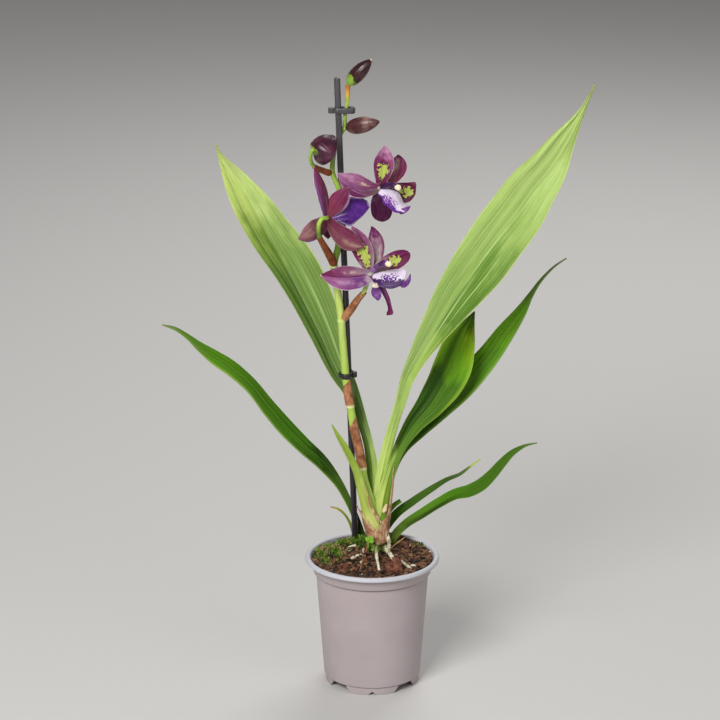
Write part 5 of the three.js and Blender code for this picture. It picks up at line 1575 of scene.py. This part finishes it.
# Colours along each half of a leaf, and its creases as leaf_material takes them. The colours
# hold painted shade where part of a leaf lies in shadow and painted highlights where it catches
# light. Dark creases are painted shade in folds or broad painted shadows, and pale creases off
# the midrib are painted highlights along ridges.
LEAF_LOOKS = {
    "leaf_big_right": dict(
        left=(
            "0 #cdd488 0.13 #bdd46e 0.21 #adc768 0.3 #96b062 0.5 #8fad58 0.65 #9fbb62 0.8 #b2cb74 "
            "0.92 #b6d074 1 #8c9a58"
        ),
        right=(
            "0 #bdd266 0.13 #a6c158 0.21 #93aa58 0.3 #a2be5e 0.39 #8ea84c 0.46 #50741f 0.54 #678a32 "
            "0.64 #92ae58 0.8 #b0ca74 1 #88984e"
        ),
        creases=[
            (0.15, 0.2, 0.42, 0.6, "#86a648", 0.35), (-0.55, 0.25, 0.39, 0.47, "#4f7a1e", 0.85),
            (-0.15, 0.07, 0.38, 0.5, "#c3da90", 0.85), (-0.25, 0.08, 0.45, 0.6, "#5a8424", 0.85),
            (-0.46, 0.05, 0.46, 0.56, "#b4d080", 0.85), (-0.78, 0.14, 0.46, 0.58, "#5f8a2c", 0.7),
            (0.25, 0.035, 0.38, 0.54, "#6c9238", 0.8), (-0.1, 0.04, 0.52, 0.7, "#66903a", 0.8),
            (0, 0.04, 0.54, 0.66, "#c3dc92", 0.7), (0.1, 0.035, 0.52, 0.6, "#7a9c48", 0.6),
            (-0.58, 0.05, 0.58, 0.76, "#7fa248", 0.6), (0, 0.04, 0.68, 0.78, "#6f9438", 0.7),
            (0.62, 0.05, 0.3, 0.9, "#7a9c4a", 0.3), (0.13, 0.04, 0.62, 0.92, "#7fa04c", 0.4),
            (-0.85, 0.16, 0.38, 0.6, "#4a6c1c", 0.5), (-0.7, 0.14, 0.1, 0.2, "#86a444", 0.6),
            (-0.8, 0.15, 0.84, 0.93, "#86a046", 0.7),
        ],
        shade="#5e8434", painted_gloss_share=0.14,
    ),
    "leaf_big_left": dict(
        left=(
            "0 #a8a45c 0.12 #58781f 0.28 #486424 0.52 #4a6a20 0.65 #5d7e2e 0.73 #7c993a 0.81 #aec264 "
            "0.9 #bccd72 1 #9caa50"
        ),
        right=(
            "0 #c8d67a 0.12 #b4cc6a 0.2 #98b062 0.28 #486824 0.5 #6c8840 0.65 #769446 0.74 #9ab460 "
            "0.82 #b9cf78 1 #98a05c"
        ),
        creases=[
            (0.35, 0.25, 0.14, 0.26, "#789a44", 0.6), (0.05, 0.06, 0.37, 0.62, "#b8cf90", 0.9),
            (0.22, 0.05, 0.4, 0.58, "#456a1a", 0.6), (-0.12, 0.05, 0.4, 0.66, "#456a1c", 0.8),
            (0.1, 0.04, 0.6, 0.74, "#587a24", 0.7), (-0.3, 0.05, 0.42, 0.6, "#527a2c", 0.7),
            (-0.41, 0.05, 0.4, 0.62, "#b4cc84", 0.7), (-0.52, 0.04, 0.48, 0.6, "#5f8636", 0.6),
            (0, 0.03, 0.7, 0.8, "#7f9c44", 0.5), (-0.6, 0.04, 0.35, 0.7, "#557a2c", 0.4),
            (0.7, 0.3, 0.4, 0.56, "#5c7a34", 0.5), (0.55, 0.05, 0.6, 0.85, "#6f8e3a", 0.4),
        ],
        shade="#4e722c", painted_gloss_share=0.12,
    ),
    "leaf_mid_right": dict(
        left=(
            "0 #b8c86c 0.13 #bed070 0.23 #94b04c 0.31 #3a5a10 0.5 #345c10 0.62 #2f5010 0.7 #5a8a12 "
            "0.86 #6a9618 1 #28400d"
        ),
        right=(
            "0 #98ac4c 0.13 #7a942f 0.23 #648530 0.32 #527820 0.45 #466c18 0.58 #406812 0.7 #629416 "
            "0.8 #88ac1a 0.9 #4c680f 1 #32480f"
        ),
        creases=[
            # The first crease is a broad painted shadow over the left half.
            (0.42, 0.34, 0.3, 1, "#1f3c0c", 0.7), (0.93, 0.1, 0.62, 0.92, "#86a838", 0.5),
            (0.08, 0.05, 0.2, 0.34, "#92b25a", 0.7), (-0.06, 0.09, 0.8, 1, "#2c480c", 0.8),
            (-0.9, 0.12, 0.5, 0.9, "#86aa2a", 0.7), (0, 0.03, 0.3, 0.78, "#8cb450", 0.6),
            (-0.8, 0.2, 0.28, 0.36, "#34520f", 0.6), (0, 0.04, 0.35, 0.75, "#4f7f24", 0.5),
        ],
        edge="#a3bc50", painted_gloss_and_vein="#7aa040", shade="#345c10", painted_gloss_share=0.08,
    ),
    "leaf_far_right": dict(
        left=(
            "0 #8c9a48 0.15 #84933c 0.23 #4f7320 0.33 #40660f 0.45 #4a7412 0.52 #5c8e14 0.59 #689e18 "
            "0.7 #5c8e18 0.8 #58722c 1 #7d8450"
        ),
        right=(
            "0 #8c9a48 0.15 #7c8a40 0.23 #4a6c1c 0.33 #3a6216 0.42 #588422 0.52 #5e9024 0.6 #72a824 "
            "0.7 #6ea024 0.82 #6d8a44 1 #8d9470"
        ),
        creases=[
            (0.05, 0.05, 0.42, 0.8, "#335e10", 0.6), (-0.08, 0.05, 0.45, 0.75, "#78a848", 0.35),
            # The last crease is a painted shadow across the right half low down.
            (-0.93, 0.12, 0.35, 0.8, "#8fb458", 0.6), (-0.4, 0.3, 0.26, 0.36, "#1c340c", 0.7),
        ],
        edge="#8cb050", painted_gloss_and_vein="#78a444", shade="#305c0f", painted_gloss_share=0.08,
    ),
    "leaf_arching_left": dict(
        left=(
            "0 #3c4a1c 0.15 #1c220f 0.24 #4c6c22 0.33 #2c480f 0.42 #4a7c12 0.6 #4c7e12 0.75 #5a9014 "
            "0.88 #6f8e3c 1 #84945c"
        ),
        right=(
            "0 #3c4a1c 0.15 #1c220f 0.24 #4a6424 0.33 #1c340a 0.42 #3a6410 0.6 #487612 0.75 #548812 "
            "0.88 #5c8030 1 #7c8c50"
        ),
        creases=[
            (0.93, 0.16, 0.14, 0.9, "#94b054", 0.75), (0.07, 0.05, 0.2, 0.9, "#2c520e", 0.6),
            (-0.02, 0.035, 0.3, 0.8, "#86b04c", 0.6),
        ],
        edge="#86a850", painted_gloss_and_vein="#5f8a30", shade="#284c0c", painted_gloss_share=0.1,
    ),
    "leaf_low_dark": dict(
        left="0 #4f7a24 0.2 #3f6a16 0.45 #42641c 0.62 #3f581e 0.8 #586c3c 1 #a8b058",
        right="0 #4f7a24 0.2 #3c6414 0.45 #426218 0.62 #3a541a 0.8 #586c3c 1 #a8b058",
        creases=[(0, 0.1, 0.2, 0.8, "#33550f", 0.5), (-0.9, 0.2, 0.1, 0.5, "#2c440e", 0.6)], edge="#5c7c34",
        painted_gloss_and_vein="#567c30", shade="#2c5010", painted_gloss_share=0.1, tip=("#b4c050", 0.86),
    ),
    "leaf_low_bright": dict(
        left=(
            "0 #6a8636 0.12 #86a044 0.22 #4c6c24 0.32 #568220 0.42 #4d8014 0.55 #426c12 0.85 #406618 "
            "1 #6c7e44"
        ),
        right=(
            "0 #6a8636 0.12 #7c963c 0.22 #46641e 0.32 #50741c 0.42 #487814 0.55 #406914 0.85 #4a6820 "
            "1 #6c7e44"
        ),
        creases=[
            # The second crease is painted shade on the folded-under part of the leaf.
            (0, 0.05, 0.2, 0.9, "#5f8c30", 0.3), (-0.6, 0.62, 0.25, 0.46, "#26380f", 0.95),
            (-0.95, 0.1, 0.56, 0.9, "#86a850", 0.6),
        ],
        edge="#7ca448", painted_gloss_and_vein="#6a9838", shade="#365f0f", painted_gloss_share=0.1,
    ),
    "leaf_short_front": dict(
        left=(
            "0 #cfd87e 0.13 #cfd878 0.22 #b0c256 0.42 #adc652 0.5 #b2ca56 0.6 #9ab63e 0.72 #8aa83a "
            "1 #8ca248"
        ),
        right=(
            "0 #cfd87e 0.13 #d3d67c 0.22 #aeb256 0.42 #b8c866 0.5 #94aa3c 0.6 #8aa238 0.72 #94b044 "
            "1 #92a84a"
        ),
        creases=[
            (-0.97, 0.08, 0.06, 0.4, "#b08c5c", 0.85), (-0.3, 0.1, 0.2, 0.8, "#a3c44c", 0.4),
            (0.8, 0.25, 0.1, 0.3, "#8ea03e", 0.5), (-0.9, 0.2, 0.5, 0.66, "#66762a", 0.6),
        ],
        edge="#b3c468", painted_gloss_and_vein="#d6e09a", shade="#869f3c", painted_gloss_share=0.15,
    ),
    "leaf_stub": dict(
        left="0 #5c8424 0.6 #5f9420 1 #4c7c1c", right="0 #5c8424 0.6 #6a9c28 1 #789c30", creases=[],
        edge="#8cb444", painted_gloss_and_vein="#80a844", shade="#3c681a", painted_gloss_share=0.12,
    ),
    "leaf_withered": dict(
        left="0 #5c6c24 0.5 #7c8a28 0.85 #a8a02c 1 #a08040",
        right="0 #5c6c24 0.5 #869028 0.85 #b0a030 1 #a08040", creases=[], edge="#a89c40", painted_gloss_and_vein="#a8a850",
        shade="#5c6028", painted_gloss_share=0.15,
    ),
}

# Tepal faces as tepal_material takes them. On a tepal, left is up when it points right.
TEPAL_LOOKS = {
    "dorsal": dict(
        left="0.1 #6a2048 0.5 #7a3460 0.72 #b07c9e 1 #b98aaa",
        right="0.1 #6a2048 0.5 #8c4a72 0.72 #bc86a8 1 #b98aaa", blotch=(0.19, 0.45, 0.5), midline=0,
        streaky=0.3,
    ),
    "dorsal_low": dict(
        left="0.05 #a89098 0.3 #702850 0.6 #64204a 0.85 #94607f",
        right="0.05 #a89098 0.4 #8c5a74 0.6 #7c3a64 0.85 #94607f", blotch=(0.14, 0.52, 0.48), midline=0,
        streaky=0.35,
    ),
    "mauve_left": dict(
        left="0.08 #66504c 0.35 #6a3460 0.7 #8a5078 1 #a87898",
        right="0.08 #7c3c60 0.35 #8c4c74 0.7 #ae7c9c 1 #b48ca6",
        patches=[
            # The first patch is a painted highlight.
            (-0.3, 0.3, 0.22, 0.12, "#ddd09c", 0.7), (0.9, 0.45, 0.5, 0.4, "#571c44", 0.75),
            (-0.95, 0.4, 0.3, 0.4, "#70305a", 0.6),
        ],
        midline=0.35, streaky=0.6,
    ),
    "two_tone": dict(
        left="0.05 #a890a0 0.2 #6a3a74 0.5 #8a4c7c 0.75 #8c4c78 0.9 #a8808c 1 #d8c8b4",
        right="0.05 #a08494 0.3 #8c5878 0.6 #782e58 0.88 #621c40 1 #c8a8a4",
        patches=[
            # Both of the first two patches are painted highlights.
            (-0.4, 0.3, 0.25, 0.14, "#d6bca8", 0.7), (0.45, 0.42, 0.3, 0.2, "#c8a0bc", 0.5),
            (0.95, 0.4, 0.25, 0.5, "#6a2a70", 0.5),
        ],
        midline=0.95, streaky=0.3,
    ),
    "maroon_gleam": dict(
        left="0.1 #6a3038 0.5 #7c3c58 1 #5c1a40", right="0.1 #6a3038 0.5 #6c2448 1 #521438",
        # The first patch is a painted highlight.
        patches=[(0.1, 0.5, 0.5, 0.32, "#c2a8a0", 0.75), (0, 0.12, 0.5, 0.1, "#b5ab50", 0.7)], midline=0.3,
    ),
    "maroon_top": dict(
        left="0.1 #cfc0b4 0.45 #b08c98 0.7 #6a2058 1 #4c1238",
        right="0.1 #c9b8ae 0.45 #a07c8c 0.7 #641c50 1 #4c1238",
        patches=[(-0.9, 0.45, 0.4, 0.5, "#5c1a44", 0.85), (0.9, 0.45, 0.4, 0.5, "#6a2450", 0.8)],
        midline=0.25, rim="#b088a4",
    ),
    "maroon_dark": dict(
        left="0.1 #5a3a54 0.35 #3a1030 1 #421430", right="0.1 #5a3a54 0.35 #3e1232 1 #461632", midline=0.3,
        rim="#6a3a58", streaky=0.15,
    ),
    "strap": dict(
        left="0.1 #8c5a88 0.5 #6c2454 1 #7c2c5c", right="0.1 #6a3468 0.5 #5c1c48 1 #742854", midline=0.3,
        rim="#c8a098",
    ),
    "maroon_blotched": dict(
        left="0.1 #4c1838 1 #5a1a34", right="0.1 #4c1838 1 #521830", blotch=(0.46, 0.8, 0.42), midline=0,
        rim="#8a5474", streaky=0.25,
    ),
    "star_blotch": dict(
        left="0.1 #b09c8c 0.45 #742a5c 0.7 #641a44 1 #5c163c", right="0.1 #a08c84 0.45 #6a2048 1 #54143a",
        blotch=(0.36, 0.58, 0.44), midline=0, rim="#d0a8c0", streaky=0.25,
    ),
    "back_red": dict(
        left="0.1 #7a3848 0.5 #74264a 1 #7c3a5c", right="0.1 #7a3848 0.5 #6c2244 1 #7c3a5c",
        patches=[(-0.95, 0.6, 0.3, 0.6, "#c8a0c8", 0.6)], midline=0.2, streaky=0.2,
    ),
    "back_tall": dict(
        left="0.1 #5c2c5c 0.5 #7a3a60 1 #7c3458", right="0.1 #7a4a50 0.4 #6a2848 1 #84405f",
        # This patch is a painted shadow along one edge.
        patches=[(0.8, 0.4, 0.4, 0.6, "#8c5a94", 0.7)], midline=0.4, streaky=0.22,
    ),
    "back_tan": dict(
        left="0.1 #6c2c40 0.5 #74304c 1 #84485c", right="0.1 #743c48 0.5 #7c4650 1 #8c5064",
        # The first patch is a painted highlight.
        patches=[(-0.15, 0.6, 0.45, 0.35, "#b08c80", 0.7), (0.9, 0.5, 0.3, 0.6, "#5c1c3c", 0.5)],
        midline=0.35, rim="#dcc2d2", streaky=0.22,
    ),
    "back_brown": dict(
        left="0.1 #4c1c2c 0.5 #7c4c50 1 #8a5a68", right="0.1 #4c1c2c 0.5 #885c5c 1 #84506a",
        patches=[(-0.1, 0.55, 0.5, 0.3, "#a88478", 0.6), (0.9, 0.6, 0.3, 0.5, "#7c5a9c", 0.5)], midline=0.3,
        rim="#c8a8d0", streaky=0.22,
    ),
    "back_dark": dict(left="0.1 #4c1c2c 1 #602040", midline=0.3, rim="#8a4a80"),
    "back_plum": dict(left="0.1 #7c8a50 0.3 #6c3450 1 #7c3c5c", midline=0.3),
}

# Finishes as grainy_material takes them.
GRAINY = {
    "hub": ("bloom_hub", "0 #8c9070 1 #cbbcc4", 300, 0.5, 0.1),
    "callus": ("lip_callus", "0 #c0aa94 0.5 #e0cdbc 1 #f0e4d0", 300, 0.5, 0.2),
    "chin": ("lip_lobes", "0 #4a1a60 0.6 #6c3a80 1 #9a6ca4", 260, 0.5, 0.15),
    "anther": ("anther_cap", "0 #ead9ac 1 #f8f0d6", 400, 0.5, 0.1),
    "point": ("bud_point", "0 #c9a890 1 #e3c8b0", 400, 0.5, 0.1),
    "soil": ("soil_mix", "0 #160c07 0.45 #331e13 0.8 #50311f 1 #6a482e", 260, 0.85, 0.8),
    "bark": ("bark_chip", "0 #3a1e12 0.35 #5c3424 0.65 #764838 1 #946450", 220, 0.85, 0.6, (1, 0.4, 2)),
    "scrap": ("root_scraps", "0 #a89468 0.4 #ded4b4 1 #f2ecdc", 300, 0.7),
    "stick": ("old_stalk", "0 #7a4430 0.5 #a8694a 1 #b98060", 200, 0.85, 0.6, (2, 0.5, 2)),
    "straw": ("straw", "0 #a8804c 0.5 #cfa872 1 #dcbc8c", 200, 0.85, 0.6, (2, 0.5, 2)),
}
# Finishes as paper_material takes them.
PAPERY = {
    "gold": ("bract_gold", "0.1 #aabc44 0.3 #cfb048 0.55 #d0923c 0.9 #a8662c", "#9a6428", True),
    "paper": ("bract_paper", "0 #96583a 0.5 #b27c54 1 #7c4428", "#6a381e"),
    "russet": ("bract_russet", "0 #7c3c1c 0.5 #9c542c 1 #6a3018", "#54260f"),
    "bulb": ("bulb_skin", "0 #94664a 0.45 #c89a74 1 #b2805c", "#7a4c30"),
    "husk": ("husk_paper", "0 #986648 0.4 #c99a74 0.7 #e0bc94 1 #a87450", "#80503a"),
}
BRACT_LOOKS = {"bract_top": "gold", "bract_bloom_left": "russet", "bract_bud_left": "russet"}
# Buds and columns as bud_material takes them. The lighter colour of each is a painted highlight.
BUD_LOOKS = {
    "bud_top": dict(body="#2c0e14", sheen="#54282c", joint=(-25, 37, 543), reach=11, rough=0.25),
    "bud_right": dict(
        body="#4a2426", sheen="#94706a", patchy=0.8, joint=(-23, 43, 501), reach=3, rough=0.33,
    ),
    "bud_left": dict(body="#380c22", sheen="#703a52", joint=(-50, 11, 490), reach=4.5, rough=0.33),
    "column_waxy": dict(body="#35103c", sheen="#6a3478"),
    "column_pale": dict(body="#481858", sheen="#9a6ca8", patchy=0.8),
}
# Lips as lip_material takes them.
LIP_LOOKS = {
    "lip_upper": dict(
        near_side="#5c2888", far_side="#e9dcee", deep="#7a2a9c", blush="#b070c0", split=-0.72,
        spotted=(0.15, 0.75), foot="#efe8f4",
    ),
    "lip_lower": dict(
        near_side="#34084c", far_side="#e6d9ec", deep="#5c2080", blush="#c8a8d4", split=-0.34,
        spotted=(0.15, 0.6),
    ),
    "lip_blue": dict(
        near_side="#5c2a88", far_side="#4f1c7c", deep="#300a4c", blush="#7a48a8", split=-0.9,
        spotted=(0.2, 0.4), foot="#c8acd4", rim="#c4a8dc", rim_from=-2.0,
    ),
    "lip_back": dict(
        near_side="#5a2a88", far_side="#74469c", deep="#4a1870", blush="#8a5cac", split=-0.2,
        spotted=(0.3, 0.4),
    ),
}
# The finishes of each bloom's tepals, in their order, and of its lip and column. Frill is how
# strongly the lip's margin is frilled.
BLOOM_LOOKS = {
    "bloom_upper": dict(
        faces=["dorsal", "mauve_left", "maroon_gleam", "maroon_dark", "maroon_blotched"],
        backs=["back_plum"] * 5, lip=("lip_upper", "lip_back", "chin"), column="column_waxy", frill=0.4,
    ),
    "bloom_left": dict(
        faces=["back_red", "back_tall", "back_tan", "back_brown", "back_dark"],
        backs=["mauve_left", "mauve_left", "maroon_gleam", "maroon_blotched", "maroon_dark"],
        lip=("lip_blue", "lip_back"), column="column_waxy", frill=0.5,
    ),
    "bloom_lower": dict(
        faces=["dorsal_low", "two_tone", "maroon_top", "strap", "star_blotch"],
        backs=["back_plum"] * 5, lip=("lip_lower", "lip_back", "chin", "callus"), column="column_pale",
        frill=0.3,
    ),
}


def all_finishes():
    """The materials that come from the tables above, by their keys."""
    finishes = {}
    for looks, make in ((TEPAL_LOOKS, tepal_material), (BUD_LOOKS, bud_material), (LIP_LOOKS, lip_material)):
        finishes.update({key: make(key, **look) for key, look in looks.items()})
    for looks, make in ((GRAINY, grainy_material), (PAPERY, paper_material)):
        finishes.update({key: make(*look) for key, look in looks.items()})
    return finishes


# ---- assembly ---------------------------------------------------------------------------------


def main_pieces():
    finish = all_finishes()
    black = plastic_material()

    pot_piece(pot_material())
    soil_piece(finish["soil"])
    crumbs_piece(varied_material("bark_crumbs", "#140a05", "#94664a", roughness=0.85))
    fibres_piece(varied_material("coir_fibres", "#6a4026", "#dcb884"))
    moss_piece(varied_material("moss", "#2c5208", "#8cc02c"))
    clover = varied_material("clover", "#74b82a", "#9cd648", roughness=0.45)
    litter_pieces(finish["scrap"], finish["stick"], finish["straw"], clover)
    for node, chip in CHIPS.items():
        chip_piece(node, finish["bark"], **chip)
    crown_pieces(finish["bulb"], finish["husk"], root_material(), shoot_material())
    for node, looks in LEAF_LOOKS.items():
        leaf_piece(node, leaf_material(node + "_green", **looks), looks["creases"])
    stem_piece(stem_material(STEM_RINGS))
    for n, (node, bract) in enumerate(BRACTS.items()):
        bract_piece(node, finish[BRACT_LOOKS.get(node, "paper")], seed=n, **bract)
    for node in BUDS:
        bud_piece(node, finish[node], finish["point"])
    for node, looks in BLOOM_LOOKS.items():
        bloom_pieces(node, looks, finish)
    stake_piece(black)
    for node, clip in CLIPS.items():
        clip_piece(node, black, **clip)


def linked(name, data):
    """An object with that data, in the scene."""
    obj = bpy.data.objects.new(name, data)
    bpy.context.scene.collection.objects.link(obj)
    return obj


# Lights, by place and size in metres and power, and what they are aimed at.
LIGHTS = {
    "key": ((-0.9, -1.9, 1.7), 1.1, 62),
    "fill": ((1.7, -1.5, 1.0), 1.6, 8),
    "back": ((0.5, 1.6, 1.8), 1.4, 24),
}
AIM = (0, 0.03, 0.3)

# Its place in metres and its tilt in degrees, with the lens and its film in millimetres.
CAMERA = Sizes(place=(-0.011, -2.6776, 1.1658), tilt=72.12, lens=160, film=36, reach=50)
FLOOR_HALF = 8


def area_light(name, place, size, power):
    data = bpy.data.lights.new(name, "AREA")
    data.shape = "SQUARE"
    data.size = size
    data.energy = power
    light = linked(name, data)
    light.location = place
    light.rotation_euler = (Vector(AIM) - Vector(place)).to_track_quat("-Z", "Y").to_euler()


def stage():
    """A pale floor, soft light from the upper left, and the camera where the photograph's was."""
    mesh = bpy.data.meshes.new("floor")
    corners = [(FLOOR_HALF * x, FLOOR_HALF * y, 0) for x, y in ((-1, -1), (1, -1), (1, 1), (-1, 1))]
    mesh.from_pydata(corners, [], [(0, 1, 2, 3)])
    mesh.materials.append(Surface("floor_paper", "#c9c7c4", roughness=0.8).material)
    floor = linked("floor", mesh)

    for name, (place, size, power) in LIGHTS.items():
        area_light(name, place, size, power)
    world = bpy.data.worlds.new("studio")
    world.use_nodes = True
    background = world.node_tree.nodes["Background"]
    background.inputs["Color"].default_value = rgb("#dcdcdc")
    background.inputs["Strength"].default_value = 0.3
    bpy.context.scene.world = world
    bpy.context.scene.view_settings.view_transform = "Standard"

    data = bpy.data.cameras.new("camera")
    data.lens = CAMERA.lens
    data.sensor_width = CAMERA.film
    data.clip_end = CAMERA.reach
    camera = linked("camera", data)
    camera.location = CAMERA.place
    camera.rotation_euler = (math.radians(CAMERA.tilt), 0, 0)
    bpy.context.scene.camera = camera


stage()
main_pieces()
